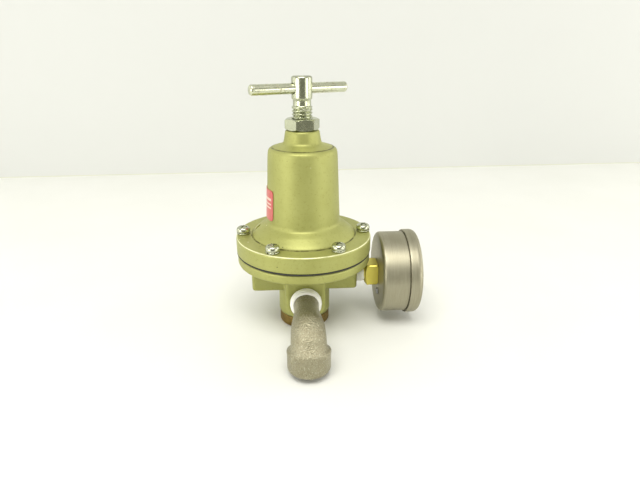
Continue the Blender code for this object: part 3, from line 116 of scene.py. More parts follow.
# %% The socket class
class Wire:
    """One output socket in a material's node tree."""

    def __init__(self, tree, socket):
        self.tree, self.socket = tree, socket

    def node(self, kind, settings, sockets, out=0):
        made = self.tree.nodes.new(kind)
        for key, value in settings.items():
            setattr(made, key, value)
        for key, value in sockets.items():
            if isinstance(value, Wire):
                self.tree.links.new(value.socket, made.inputs[key])
            else:
                made.inputs[key].default_value = value
        return Wire(self.tree, made.outputs[out])

    def math(self, operation, *values):
        return self.node("ShaderNodeMath", {"operation": operation}, dict(enumerate(values)))

    def __add__(self, other):
        return self.math("ADD", self, other)

    def __sub__(self, other):
        return self.math("SUBTRACT", self, other)

    def __rsub__(self, other):
        return self.math("SUBTRACT", other, self)

    def __mul__(self, other):
        return self.math("MULTIPLY", self, other)

    def __truediv__(self, other):
        return self.math("DIVIDE", self, other)

    def __rtruediv__(self, other):
        return self.math("DIVIDE", other, self)

    __radd__ = __add__
    __rmul__ = __mul__

    def clamp(self):
        return self.node("ShaderNodeClamp", {}, {"Value": self})

    def across(self, other):
        """The length of the slope whose two legs are this wire and another."""
        squares = self * self + other * other
        return squares.math("SQRT", squares)

    def step(self, low, high):
        """0 below low, 1 above high, smooth between."""
        return self.node("ShaderNodeMapRange", {"interpolation_type": "SMOOTHSTEP"},
                         {"Value": self, "From Min": low, "From Max": high})

    def between(self, low, high, soft):
        """1 between two values and 0 outside them, with soft edges."""
        return self.step(low - soft, low + soft) * (1 - self.step(high - soft, high + soft))

    def noise(self, scale, detail=3.0, rough=0.55, stretch=(1.0, 1.0, 1.0)):
        """Cloudy noise from 0 to 1 at this many lumps a metre, with the wire as its point."""
        point = self.node("ShaderNodeMapping", {}, {"Vector": self, "Scale": stretch})
        return self.node("ShaderNodeTexNoise", {}, {
            "Vector": point, "Scale": scale, "Detail": detail, "Roughness": rough})

    def cells(self, scale):
        """The distance, in cells, to the nearest of points strewn this many to a metre."""
        return self.node("ShaderNodeTexVoronoi", {}, {"Vector": self, "Scale": scale})

    def mix(self, first, second):
        """The colour between two colours, with the wire as the share of the second."""
        parts = {0: self.clamp()}
        for key, colour in ((6, first), (7, second)):
            parts[key] = colour if isinstance(colour, Wire) else (*colour, 1.0)
        return self.node("ShaderNodeMix", {"data_type": "RGBA"}, parts, out=2)

    def axis(self, letter):
        return self.node("ShaderNodeSeparateXYZ", {}, {0: self}, out="XYZ".index(letter))

    def bump(self, height_m, strength):
        """A normal from the wire as a height from 0 to 1, that many metres tall."""
        return self.node("ShaderNodeBump", {}, {
            "Height": self, "Distance": height_m, "Strength": strength})


def new_finish(name, metallic=0.0, roughness=0.5, **constants):
    """A material, and the object-space point, with heights from the datum, for its patterns."""
    made = bpy.data.materials.new(name)
    made.use_nodes = True
    shader = made.node_tree.nodes["Principled BSDF"]
    shader.inputs["Metallic"].default_value = metallic
    shader.inputs["Roughness"].default_value = roughness
    for key, value in constants.items():
        shader.inputs[key.replace("_", " ")].default_value = value
    coordinates = made.node_tree.nodes.new("ShaderNodeTexCoord")
    point = Wire(made.node_tree, coordinates.outputs["Object"])
    return made, point.node("ShaderNodeVectorMath", {"operation": "SUBTRACT"},
                            {0: point, 1: (0.0, 0.0, DATUM)})


def wear(made, **wires):
    """Links the finished wires to the shader's own sockets."""
    shader = made.node_tree.nodes["Principled BSDF"]
    for key, value in wires.items():
        made.node_tree.links.new(value.socket, shader.inputs[key.replace("_", " ")])
    return made


print("shader sums ready")

# %% [markdown]
# ## Surfaces from numbers
# Most of this regulator is turned on a lathe or cast in a turned die, so its pieces are surfaces of
# revolution or tubes along a path. Each is a grid of points worked out with numpy in one go. The grid
# becomes a mesh of quads, closed in the directions that come back on themselves.


# %% Grid to mesh
def smooth(obj, angle_deg):
    """Smooth shading, with a sharp edge wherever the surface turns by more than this."""
    obj.data.shade_smooth()
    obj.data.set_sharp_from_angle(angle=math.radians(angle_deg))
    return obj


def surface(name, grid, material, close_rows=False, sharp_deg=30.0):
    """A closed mesh from points[row, column], with heights from the datum. Columns always wrap.

    Rows wrap too when close_rows is set. Otherwise the first and last rows are filled with a fan.
    """
    rows, columns, _ = grid.shape
    index = np.arange(rows * columns).reshape(rows, columns)
    last = rows if close_rows else rows - 1
    here = index[:last]
    below = np.roll(index, -1, axis=0)[:last]
    faces = np.stack([here, np.roll(here, -1, axis=1), np.roll(below, -1, axis=1), below], axis=-1)
    faces = faces.reshape(-1, 4).tolist()
    points = grid.reshape(-1, 3) + np.array([0.0, 0.0, DATUM])
    if not close_rows:
        hubs = np.array([points[:columns].mean(axis=0), points[-columns:].mean(axis=0)])
        points = np.vstack([points, hubs])
        first, final = rows * columns, rows * columns + 1
        top, bottom = index[0].tolist(), index[-1].tolist()
        faces += [[first, b, a] for a, b in zip(top, top[1:] + top[:1])]
        faces += [[final, a, b] for a, b in zip(bottom, bottom[1:] + bottom[:1])]
    mesh = bpy.data.meshes.new(name)
    mesh.from_pydata(points.tolist(), [], faces)
    welded = bmesh.new()
    welded.from_mesh(mesh)
    bmesh.ops.remove_doubles(welded, verts=welded.verts, dist=1e-7)
    bmesh.ops.recalc_face_normals(welded, faces=welded.faces)
    welded.to_mesh(mesh)
    welded.free()
    mesh.materials.append(material)
    return smooth(new_object(name, mesh), sharp_deg)


def fillet(profile, spans=4):
    """Rounds a profile's corners: points are (radius, height) or (radius, height, rounding).

    Each rounded corner becomes a quadratic curve that starts and ends `rounding` away from it.
    """
    out = []
    count = len(profile)
    for i, point in enumerate(profile):
        corner = np.array(point[:2], float)
        size = point[2] if len(point) > 2 else 0.0
        if not size or i in (0, count - 1):
            out.append(corner)
            continue
        before = np.array(profile[i - 1][:2], float) - corner
        after = np.array(profile[i + 1][:2], float) - corner
        start = corner + before * min(0.49, size / np.linalg.norm(before))
        end = corner + after * min(0.49, size / np.linalg.norm(after))
        for t in np.linspace(0.0, 1.0, spans + 1):
            out.append((1 - t) ** 2 * start + 2 * t * (1 - t) * corner + t * t * end)
    return np.array(out)


def refine(profile, longest):
    """Adds points to a profile until no step is longer than this."""
    out = [profile[0]]
    for near, far in zip(profile[:-1], profile[1:]):
        parts = max(1, int(math.ceil(np.linalg.norm(far - near) / longest)))
        out += [near + (far - near) * k / parts for k in range(1, parts + 1)]
    return np.array(out)


def full_turn(steps):
    """This many angles that go once round, without the last that would repeat the first."""
    return np.linspace(0.0, 2 * math.pi, steps, endpoint=False)


def round_z(radius, angle, height):
    """Points round Z: x = r cos a, y = r sin a, z = height."""
    return np.stack(np.broadcast_arrays(radius * np.cos(angle), radius * np.sin(angle), height),
                    axis=-1)


def revolve(profile, steps):
    """Turns (radius, height) points about Z."""
    return round_z(profile[:, 0, None], full_turn(steps), profile[:, 1, None])


def lay(grid, centre, along, across=(0.0, 0.0, 1.0)):
    """Moves a grid made about Z so that its Z runs along a direction from a centre."""
    w = np.array(along, float)
    w /= np.linalg.norm(w)
    u = np.cross(np.array(across, float), w)
    u /= np.linalg.norm(u)
    v = np.cross(w, u)
    turn = np.stack([u, v, w], axis=0)
    return grid @ turn + np.array(centre, float)


def place(obj, body, slot, *replaced):
    """Makes a finished piece ride on its body and stand for CAD nodes."""
    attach(obj, body)
    if replaced:
        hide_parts(*replaced)
    print(f"{obj.name}: {len(obj.data.polygons)} faces")
    return obj


def cutter(name, grid):
    """A hidden shape that others are cut by."""
    obj = surface(name, grid, hidden_finish)
    obj.hide_render = True
    obj.hide_viewport = True
    return obj


def cut(obj, others, sharp_deg):
    """Cuts one shape after another away, removes the cutters and shades what is left."""
    for other in others:
        made = obj.modifiers.new("cut", "BOOLEAN")
        made.operation = "DIFFERENCE"
        made.solver = "MANIFOLD"
        made.object = other
    bake_modifiers(obj)
    for other in others:
        bpy.data.objects.remove(other)
    smooth(obj, sharp_deg)


def bake_modifiers(obj):
    """Replaces an object's mesh by what its modifiers make of it."""
    bpy.context.view_layer.update()
    done = obj.evaluated_get(bpy.context.evaluated_depsgraph_get())
    mesh = bpy.data.meshes.new_from_object(done)
    obj.modifiers.clear()
    obj.data = mesh
    return obj


def rod(radius, start, end, steps):
    """A plain cylinder's grid between two points."""
    start, end = np.array(start, float), np.array(end, float)
    length = np.linalg.norm(end - start)
    along = (end - start) / length
    across = (0.0, 0.0, 1.0) if abs(along[2]) < 0.9 else (0.0, 1.0, 0.0)
    profile = np.array([(radius, 0.0), (radius, length)])
    return lay(revolve(profile, steps), start, along, across)


def rounded_corners(steps):
    """The angles along a rectangle's four quarter-round corners, and the signs of their centres."""
    arc = np.linspace(0, math.pi / 2, steps)
    turns = np.concatenate([arc + quarter * math.pi / 2 for quarter in range(4)])
    signs = np.repeat(np.array([(1, 1), (-1, 1), (-1, -1), (1, -1)]), steps, axis=0)
    return turns, signs


hidden_finish, _ = new_finish("hidden")
print("mesh helpers ready")

# %% [markdown]
# ## Olive-gold enamel
# The castings are sprayed with a satin olive-gold enamel. It is thin, so the casting's fine grain
# shows through as bump and as small changes of gloss. Grime and painted shade darken the creases, the
# flange's rim is rubbed pale and given a painted highlight, and a few chips and dark specks are strewn
# over it. The creases and the rim are at known radii and heights, so masks made from those put the
# grime, the painted shade, the wear and the painted highlight exactly there.

# %% Enamel
OLIVE = (0.345, 0.352, 0.105)
OLIVE_PALE = (0.42, 0.43, 0.15)
OLIVE_DARK = (0.20, 0.20, 0.04)
BARE_METAL = (0.62, 0.60, 0.42)
# The pale rim colour is worn paint with a painted highlight; the crease colour is grime with painted
# shade.
RUBBED_PALE_AND_HIGHLIGHT = (0.80, 0.80, 0.50)
CREASE_DIRT_AND_SHADE = (0.075, 0.07, 0.016)
DARK_SPECK = (0.05, 0.05, 0.02)


def near_ring(radius, height, at_radius, at_height, reach):
    """1 on a ring of a turned casting, falling to 0 at this reach from it."""
    return (1 - (radius - at_radius).across(height - at_height) / reach).clamp()


def enamel(name, creases, edge=None):
    """Enamel with grime and painted shade at each (radius, height, reach) crease of a casting, and
    rubbed pale with a painted highlight at an edge.
    """
    made, point = new_finish(name, metallic=0.5)
    x, y, z = (point.axis(letter) for letter in "XYZ")
    radius = x.across(y)
    cloud = point.noise(70.0, 4.0)
    grain = point.noise(1500.0, 2.0, 0.6)
    speckle = point.noise(620.0, 3.0, 0.7)
    colour = ((cloud - 0.35) * 1.6).mix(OLIVE, OLIVE_PALE)
    colour = ((speckle - 0.56) * 2.6).mix(colour, OLIVE_DARK)
    # Darkening at the creases: grime and painted shade.
    crease_dirt_and_shade = near_ring(radius, z, *creases[0])
    for crease in creases[1:]:
        crease_dirt_and_shade = crease_dirt_and_shade.math("MAXIMUM", crease_dirt_and_shade, near_ring(radius, z, *crease))
    patchy = point.noise(190.0, 3.0, 0.6).step(0.30, 0.62)
    colour = ((crease_dirt_and_shade * 1.6).clamp() * (0.25 + patchy * 0.7)).mix(colour, CREASE_DIRT_AND_SHADE)
    if edge is not None:
        # The flange rim: paint rubbed pale, with a painted highlight.
        rim_wear_and_highlight = near_ring(radius, z, *edge).step(0.0, 0.5)
        colour = (rim_wear_and_highlight * (0.35 + patchy * 0.65)).mix(colour, RUBBED_PALE_AND_HIGHLIGHT)
    chip = (1 - point.cells(210.0).step(0.09, 0.12)) * point.noise(46.0, 1.0).step(0.62, 0.64)
    colour = chip.mix(colour, BARE_METAL)
    speck = (1 - point.cells(150.0).step(0.045, 0.06)) * point.noise(33.0, 1.0).step(0.55, 0.6)
    colour = speck.mix(colour, DARK_SPECK)
    height = grain * 0.6 + speckle * 0.4 - chip
    return wear(made, Base_Color=colour, Roughness=0.36 + cloud * 0.14 + speckle * 0.10,
                Normal=height.bump(0.00009, 0.55))


print("enamel ready, from", OLIVE, "to", OLIVE_PALE)

# %% [markdown]
# ## Plated, brushed and cast metals
# The screws, nut, bar and tee screw are bright zinc plate, rubbed dull in use. The gauge's case is
# stainless steel, brushed while it turned, so its scratches run round the gauge's axis: the noise is
# squeezed along X and read at the distance from that axis. The elbow is an investment casting, left
# grainy, and the plug is tarnished bronze.

# %% Metals
gauge_axis = sum(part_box("gauge_case"), Vector()).z / 2 - DATUM
BEZEL_SEAM = 67.75 * MM


def zinc(name, tint, rubbed):
    """Zinc plate, stained brown where a noise is above `rubbed`."""
    made, point = new_finish(name, metallic=1.0)
    cloud = point.noise(260.0, 4.0)
    fine = point.noise(2600.0, 2.0)
    stain = point.noise(420.0, 4.0, 0.7).step(rubbed, rubbed + 0.22)
    colour = ((cloud - 0.3) * 1.5).mix(tint, tuple(min(1.0, c * 1.2) for c in tint))
    colour = (stain * 0.7).mix(colour, (0.26, 0.21, 0.09))
    return wear(made, Base_Color=colour, Roughness=0.20 + cloud * 0.10 + stain * 0.22,
                Normal=(fine * 0.5 + cloud).bump(0.000004, 0.3))


def brushed(name, tint, dark):
    """Scratches round the gauge's axis, and a dark seam where the bezel is crimped on."""
    made, point = new_finish(name, metallic=1.0)
    x, y, z = (point.axis(letter) for letter in "XYZ")
    up = z - gauge_axis
    radius = y.across(up)
    lines = point.node("ShaderNodeCombineXYZ", {}, {0: x, 1: radius, 2: up * 0.015})
    scratch = lines.noise(4200.0, 3.0, 0.7)
    broad = lines.noise(700.0, 2.0, 0.5)
    stain = point.noise(90.0, 4.0)
    colour = ((scratch - 0.3) * 1.4).mix(dark, tint)
    colour = (stain.step(0.48, 0.72) * 0.45).mix(colour, dark)
    off_seam = x - BEZEL_SEAM
    seam = 1 - off_seam.math("ABSOLUTE", off_seam) / (0.10 * MM + point.noise(600.0) * 0.45 * MM)
    colour = (seam.step(0.0, 0.5) * 0.8).mix(colour, (0.06, 0.05, 0.03))
    return wear(made, Base_Color=colour, Roughness=0.34 + scratch * 0.14 + broad * 0.10,
                Normal=(scratch + broad).bump(0.00003, 0.5))


def cast_stainless(name):
    """The grainy skin that an investment casting keeps, brighter on its high grains."""
    made, point = new_finish(name, metallic=0.9)
    grain = point.noise(1150.0, 3.0, 0.7)
    pits = point.cells(1000.0)
    cloud = point.noise(150.0, 3.0)
    colour = ((cloud - 0.3) * 1.4).mix((0.30, 0.275, 0.18), (0.41, 0.385, 0.27))
    colour = ((0.5 - grain) * 3).mix(colour, (0.20, 0.185, 0.115))
    colour = (grain.step(0.56, 0.68) * 0.6).mix(colour, (0.72, 0.70, 0.54))
    height = grain + pits * 0.8
    return wear(made, Base_Color=colour, Roughness=0.24 + grain * 0.20,
                Normal=height.bump(0.00042, 1.0))


def tarnished(name, bright, dark, at=0.45, rough=0.3):
    """Yellow metal that has gone dark where a noise is above `at`."""
    made, point = new_finish(name, metallic=1.0)
    cloud = point.noise(140.0, 5.0, 0.65)
    fine = point.noise(1900.0, 2.0)
    colour = cloud.step(at, at + 0.3).mix(bright, dark)
    return wear(made, Base_Color=colour, Roughness=rough + cloud * 0.25,
                Normal=(fine + cloud).bump(0.00003, 0.4))


zinc_finish = zinc("zinc_plate_worn", (0.46, 0.48, 0.35), 0.56)
# The bar's zinc is the same plate, stained a little more, with a brighter tint: painted light on a part
# the lamps leave darker.
bar_finish = zinc("zinc_plate_stained_painted_bright", (0.60, 0.62, 0.46), 0.52)
case_finish = brushed("stainless_brushed", (0.53, 0.505, 0.38), (0.31, 0.29, 0.205))
elbow_finish = cast_stainless("stainless_as_cast")
bronze_finish = tarnished("bronze_tarnished", (0.24, 0.165, 0.05), (0.08, 0.06, 0.018), rough=0.42)
brass_finish = tarnished("brass_machined", (0.66, 0.58, 0.125), (0.40, 0.34, 0.08), at=0.55)
print("metals ready, gauge axis", round(gauge_axis / MM, 1), "mm above the datum")

# %% [markdown]
# ## Rubber, tape, plate and glass
# The tape is white fluoropolymer film, wound in overlapping turns, so its bump is ragged bands round
# the pipe. The plate is red lacquer over thin metal with a few plain pale bars, which stand for
# printing without saying anything. Glass gets its look from a low alpha and a low roughness.

# %% Soft and clear finishes
def plain(name, first, second, scale, rough, height_m=0.00004, metallic=0.0):
    """A cloudy two-tone finish with a fine bump."""
    made, point = new_finish(name, metallic=metallic)
    cloud = point.noise(scale, 4.0)
    fine = point.noise(scale * 14, 2.0)
    colour = ((cloud - 0.3) * 2).mix(first, second)
    return wear(made, Base_Color=colour, Roughness=rough - 0.06 + cloud * 0.16,
                Normal=(cloud + fine).bump(height_m, 0.5))


def tape(name, axis):
    """White film in ragged bands that run round an axis, a little stained."""
    made, point = new_finish(name)
    stretch = [1.0, 1.0, 1.0]
    stretch["XYZ".index(axis)] = 5.0
    bands = point.noise(230.0, 4.0, 0.7, stretch=tuple(stretch))
    stain = point.noise(90.0, 3.0)
    colour = stain.step(0.45, 0.75).mix((0.93, 0.93, 0.87), (0.84, 0.83, 0.70))
    colour = ((0.42 - bands) * 3).mix(colour, (0.72, 0.71, 0.58))
    return wear(made, Base_Color=colour, Roughness=0.42 + bands * 0.3,
                Normal=bands.bump(0.00035, 0.8))


def label(name, low, high):
    """Red lacquer with pale bars, placed by their shares of the plate's height and width."""
    made, point = new_finish(name, Coat_Weight=0.3)
    up = (point.axis("Z") - low.z) / (high.z - low.z)
    along = (point.axis("Y") - low.y) / (high.y - low.y)
    bars = None
    for bottom, top, start, end in ((0.66, 0.74, 0.05, 0.80), (0.52, 0.57, 0.05, 0.62),
                                    (0.40, 0.45, 0.05, 0.70), (0.13, 0.30, 0.55, 0.90)):
        bar = up.between(bottom, top, 0.006) * along.between(start, end, 0.006)
        bars = bar if bars is None else bars.math("MAXIMUM", bars, bar)
    rub = point.noise(330.0, 4.0, 0.7)
    colour = ((rub - 0.35) * 1.5).mix((0.52, 0.075, 0.07), (0.60, 0.16, 0.13))
    colour = (bars * (0.6 + rub * 0.5)).mix(colour, (0.74, 0.58, 0.48))
    return wear(made, Base_Color=colour, Roughness=0.28 + rub * 0.2,
                Normal=(rub + bars).bump(0.00002, 0.5))


rubber_finish = plain("rubber_black", (0.018, 0.018, 0.014), (0.05, 0.05, 0.04), 240.0, 0.65)
spring_finish = plain("spring_oiled", (0.20, 0.20, 0.20), (0.33, 0.33, 0.32), 300.0, 0.35,
                      metallic=1.0)
dial_finish = plain("dial_enamel", (0.86, 0.86, 0.82), (0.80, 0.80, 0.74), 60.0, 0.45, 0.00001)
ink_finish = plain("ink_black", (0.015, 0.015, 0.015), (0.03, 0.03, 0.03), 300.0, 0.5, 0.00001)
plate_low, plate_high = (corner - Vector((0, 0, DATUM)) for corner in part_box("nameplate"))
red_finish = label("label_red", plate_low, plate_high)
elbow_tape_finish = tape("tape_white_elbow", "Y")
gauge_tape_finish = tape("tape_white_gauge", "X")
lens_finish, _ = new_finish("lens_clear", roughness=0.04, IOR=1.49, Alpha=0.16)
lens_finish.surface_render_method = "BLENDED"
print(len(bpy.data.materials), "materials so far")

# %% [markdown]
# ## Floor and light
# The regulator stands on a pale, plain board against a pale wall. The main light is a big soft box
# high in front, with one window on each side for the bright edges. Two low boxes, well to the sides,
# lift what the flange shades. The room in front, beyond the board, is darker, and the polished
# cylinders mirror that as a dark stripe down their middles.

# %% Floor and wall
BOARD_FRONT, WALL_AWAY, WALL_TALL, BOARD_HALF = -0.30, 0.44, 1.2, 2.0
WALL_TURN_DEG = 1.9
board_away = np.concatenate([np.linspace(BOARD_FRONT, WALL_AWAY, 6), np.full(5, WALL_AWAY)])
board_rise = np.concatenate([np.zeros(6), np.linspace(0.0, WALL_TALL, 5)]) - 0.0001
board_side = np.linspace(-BOARD_HALF, BOARD_HALF, 9)
board_grid = np.stack(np.broadcast_arrays(board_side[None, :], board_away[:, None],
                                          board_rise[:, None]), axis=-1)
board = bpy.data.meshes.new("board")
corner = np.arange(board_grid[..., 0].size).reshape(board_grid.shape[:2])
quads = np.stack([corner[:-1, :-1], corner[:-1, 1:], corner[1:, 1:], corner[1:, :-1]], axis=-1)
board.from_pydata(board_grid.reshape(-1, 3).tolist(), [], quads.reshape(-1, 4).tolist())
board_finish, board_point = new_finish("board_pale")
board_cloud = board_point.noise(9.0, 3.0)
board_height = board_point.axis("Z") + DATUM
board_colour = board_cloud.mix((0.78, 0.785, 0.75), (0.72, 0.725, 0.68))
board_colour = board_height.step(0.0002, 0.0008).mix(board_colour, (0.60, 0.61, 0.50))
board_colour = board_height.step(0.0014, 0.0022).mix(board_colour, (0.625, 0.635, 0.615))
wear(board_finish, Base_Color=board_colour, Roughness=0.68 + board_cloud * 0.12)
board.materials.append(board_finish)
floor = new_object("floor", board)
floor.rotation_euler.z = math.radians(WALL_TURN_DEG)

# %% Room and lights
world = bpy.data.worlds.new("room")
world.use_nodes = True
sky = world.node_tree.nodes.new("ShaderNodeTexCoord")
seen_way = Wire(world.node_tree, sky.outputs["Generated"])
brightness = (seen_way.axis("Y").step(-0.75, 0.1) + seen_way.axis("Z").step(0.3, 0.85)).clamp()
backdrop = brightness.mix((0.27, 0.27, 0.22), (0.66, 0.66, 0.63))
background = world.node_tree.nodes["Background"]
world.node_tree.links.new(backdrop.socket, background.inputs["Color"])
bpy.context.scene.world = world
MIDDLE = Vector((0.0, 0.0, 0.07))


def soft_box(name, stand, size, watts):
    """An oblong area light that looks at the middle of the regulator."""
    lamp = bpy.data.lights.new(name, "AREA")
    lamp.shape = "RECTANGLE"
    lamp.size, lamp.size_y = size
    lamp.energy = watts
    lamp.color = (1.0, 0.98, 0.94)
    obj = new_object(name, lamp)
    obj.location = stand
    obj.rotation_euler = (MIDDLE - Vector(stand)).to_track_quat("-Z", "Y").to_euler()


soft_box("key_high", (-0.10, -0.52, 1.00), (0.9, 0.5), 10.5)
soft_box("fill_left", (-0.76, -0.60, 0.16), (0.6, 0.4), 3.4)
soft_box("fill_right", (0.80, -0.55, 0.16), (0.5, 0.4), 2.4)
soft_box("window_left", (-0.90, 0.10, 0.35), (0.5, 0.7), 1.5)
soft_box("window_right", (0.90, 0.10, 0.35), (0.5, 0.7), 2.3)

# %% [markdown]
# ## Bonnet
# The spring cover is one aluminium die casting: a drafted barrel that closes over the spring, a
# shallow bell below it and a flange with six screw holes. It is drawn as one turned profile, outside
# first and then back up the inside, so its wall is real. Radii at the corners are what a die leaves.

# %% Bonnet
BARREL_FOOT, BARREL_TOP = (23.85, 69.7), (22.1, 112.0)    # radius and height, in mm
SCREW_TURNS = np.radians(60.0 * np.arange(6))
SCREW_PLACES = 39.7 * MM * np.stack([np.cos(SCREW_TURNS), np.sin(SCREW_TURNS)], axis=-1)
VENT_SLOPE = math.radians(33.95)
# Grime and painted shade at the shoulder, the neck top and the bell's foot; worn paint and a painted
# highlight on the flange rim.
casting_finish = enamel("enamel_bonnet", creases=(
    (19.3 * MM, 117.2 * MM, 0.8 * MM), (6.9 * MM, 127.4 * MM, 2.4 * MM),
    (34.15 * MM, 60.15 * MM, 0.75 * MM)), edge=(44.25 * MM, 59.9 * MM, 0.62 * MM))
bonnet_profile = fillet([
    (6.65, 127.3), (10.6, 127.3, 1.0), (11.5, 121.6, 2.2), (12.2, 119.3, 1.3), (19.6, 117.0, 0.8),
    (21.6, 115.8, 2.6), (*BARREL_TOP, 2.2), (*BARREL_FOOT, 0.9), (24.5, 68.2, 0.9), (28.5, 65.8, 0.9),
    (32.7, 62.3, 1.2), (33.9, 61.0, 0.7), (34.1, 60.1, 0.35), (43.7, 60.1, 0.9), (44.45, 59.2, 0.7),
    (44.45, 49.6, 0.35), (31.0, 49.6, 0.3), (31.0, 55.6, 0.8), (20.3, 67.3, 1.5), (18.2, 113.4, 1.5),
    (6.65, 113.4, 0.2)])
bonnet = surface("bonnet_fine", revolve(refine(bonnet_profile, 1.6) * MM, 192), casting_finish,
                 close_rows=True)
holes = [cutter(f"hole_{number}", rod(2.7 * MM, (x, y, 48 * MM), (x, y, 61 * MM), 40))
         for number, (x, y) in enumerate(SCREW_PLACES)]
vent_at = np.array([-29.6, 0.0, 64.3]) * MM
vent_out = np.array([-math.sin(VENT_SLOPE), 0.0, math.cos(VENT_SLOPE)])
holes.append(cutter("vent_mark", rod(2.0 * MM, vent_at - vent_out * 0.25 * MM,
                                     vent_at + vent_out * 2 * MM, 40)))
holes.append(cutter("vent_hole", rod(0.9 * MM, vent_at - vent_out * 12 * MM,
                                     vent_at + vent_out * 2 * MM, 24)))
cut(bonnet, holes, 32)
place(bonnet, "housing", "olive_paint", "bonnet")

# %% [markdown]
# ## Diaphragm
# A disc of fabric-reinforced rubber, nipped between the flanges. Its edge is squeezed a little
# unevenly between the screws, so the rim's radius wanders by about a tenth of a millimetre.

# %% Diaphragm
def diaphragm_disc(low, high):
    """A turned disc between two heights, whose rim wanders with the angle a.

    Beyond 42 mm the radius is times 1 + 0.0022 (sin 6a + half of sin (17a + 1)).
    """
    half = (high.z - low.z) / 2 / MM
    profile = np.array([
        (3.3, half), (30.0, half), (41.0, half), (44.0, half * 0.95), (44.3, half * 0.5),
        (44.3, -half * 0.5), (44.0, -half * 0.95), (41.0, -half), (30.0, -half), (3.3, -half)]) * MM
    disc = revolve(profile, 240)
    angle = full_turn(240)
    squeeze = 1 + 0.0022 * (np.sin(6 * angle) + 0.5 * np.sin(17 * angle + 1.0))
    disc[profile[:, 0] > 42 * MM, :, :2] *= squeeze[None, :, None]
    return disc + (0.0, 0.0, (low.z + high.z) / 2 - DATUM)


diaphragm = surface("diaphragm_fine", diaphragm_disc(*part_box("diaphragm")), rubber_finish,
                    close_rows=True)
place(diaphragm, "housing", "black_rubber", "diaphragm")

# %% [markdown]
# ## Body
# The body is one casting too: a round flange, a column, a wing on each side for a gauge port and a
# round-bottomed boss front and back for a main port. Closed shapes are laid over one another, fused by a
# fine voxel remesh, and smoothing then leaves the soft inner corners that a sand or die casting has.
# Bores, ports and screw holes are cut last, so their edges stay crisp, as they do when machined.

# %% Body shapes
# Grime and painted shade under the flange and at the column's foot.
body_finish = enamel("enamel_body", creases=(
    (20.0 * MM, 41.4 * MM, 1.4 * MM), (17.6 * MM, 4.4 * MM, 1.6 * MM)))
PORT_AXIS, PORT_RADIUS = 21.5 * MM, 8.6 * MM
COLUMN_RADIUS = 17.4    # in mm, as in all the profiles


def slab(name, half_x, half_y, bottom, top, rounding, steps=12):
    """A box with rounded upright edges and softened rims, as a squared-off turned grid.

    Each ring is a rounded rectangle: four quarter arcs round the corners' centres.
    """
    turns, signs = rounded_corners(steps)
    soft = rounding * 0.8
    drop = np.linspace(0, math.pi / 2, 6)
    inset = np.concatenate([soft * (1 - np.sin(drop)), soft * (1 - np.cos(drop))])
    level = np.concatenate([bottom + soft * (1 - np.cos(drop)), top - soft * (1 - np.sin(drop))])
    x = signs[:, 0] * (half_x - rounding) + (rounding - inset[:, None]) * np.cos(turns)
    y = signs[:, 1] * (half_y - rounding) + (rounding - inset[:, None]) * np.sin(turns)
    z = np.broadcast_to(level[:, None], x.shape)
    return surface(name, np.stack([x, y, z], axis=-1), body_finish)


def pad(name, reach, half_width, round_centre, top, rim):
    """A main port boss: a half-round bottom and straight sides, run along Y through the body."""
    arc = np.linspace(math.pi, 2 * math.pi, 49)
    rows = []
    for y, inset in ((-reach, rim), (-reach + rim * 0.3, rim * 0.3), (-reach + rim, 0.0),
                     (reach - rim, 0.0), (reach - rim * 0.3, rim * 0.3), (reach, rim)):
        radius = half_width - inset
        bottom = np.stack([radius * np.cos(arc), np.full(49, y),
                           round_centre + radius * np.sin(arc)], axis=-1)
        sides = np.array([(radius, y, top), (-radius, y, top)])
        rows.append(np.vstack([bottom, sides]))
    return surface(name, np.array(rows), body_finish)


turned = fillet([
    (0.01, 48.2), (43.2, 48.2, 0.4), (44.0, 47.6, 0.6), (44.0, 42.4, 0.7), (43.2, 41.8, 0.7),
    (COLUMN_RADIUS, 41.8, 3.4), (COLUMN_RADIUS, 4.4, 0.6), (16.9, 4.2), (0.01, 4.2)])
body = surface("body_fine", revolve(refine(turned, 1.5) * MM, 160), body_finish)
wing = slab("wing", 35.0 * MM, 12.5 * MM, 23.0 * MM, 42.4 * MM, 2.2 * MM)
boss = pad("boss", 26.0 * MM, 13.0 * MM, 20.0 * MM, 42.4 * MM, 1.5 * MM)
joined = bmesh.new()
for casting_part in (body, wing, boss):
    joined.from_mesh(casting_part.data)
joined.to_mesh(body.data)
joined.free()
for casting_part in (wing, boss):
    bpy.data.objects.remove(casting_part)
remesh = body.modifiers.new("fuse", "REMESH")
remesh.mode = "VOXEL"
remesh.voxel_size = 0.62 * MM
soften = body.modifiers.new("soften", "SMOOTH")
soften.factor = 0.5
soften.iterations = 4
bake_modifiers(body)
print("fused body:", len(body.data.polygons), "faces")

# %% Body bores
GAUGE_PORT_AXIS, GAUGE_WAY_AXIS = 30.0 * MM, 32.6 * MM
chamber = np.array([
    (0.01, 60.0), (31.0, 60.0), (31.0, 43.6), (8.8, 43.6), (8.8, 25.1), (6.6, 25.1), (6.6, 23.5),
    (9.5, 23.5), (9.5, 12.8), (12.0, 12.8), (12.0, 3.0), (0.01, 3.0)]) * MM
bores = [cutter("chamber", revolve(chamber, 96))]
for number, sign in enumerate((-1, 1)):
    bores.append(cutter(f"main_port_{number}", rod(
        PORT_RADIUS, (0, sign * 7 * MM, PORT_AXIS), (0, sign * 28 * MM, PORT_AXIS), 80)))
    bores.append(cutter(f"gauge_port_{number}", rod(
        6.3 * MM, (sign * 24 * MM, 0, GAUGE_PORT_AXIS), (sign * 37 * MM, 0, GAUGE_PORT_AXIS), 64)))
    bores.append(cutter(f"gauge_way_{number}", rod(
        2.4 * MM, (sign * 6 * MM, 0, GAUGE_WAY_AXIS), (sign * 26 * MM, 0, GAUGE_WAY_AXIS), 32)))
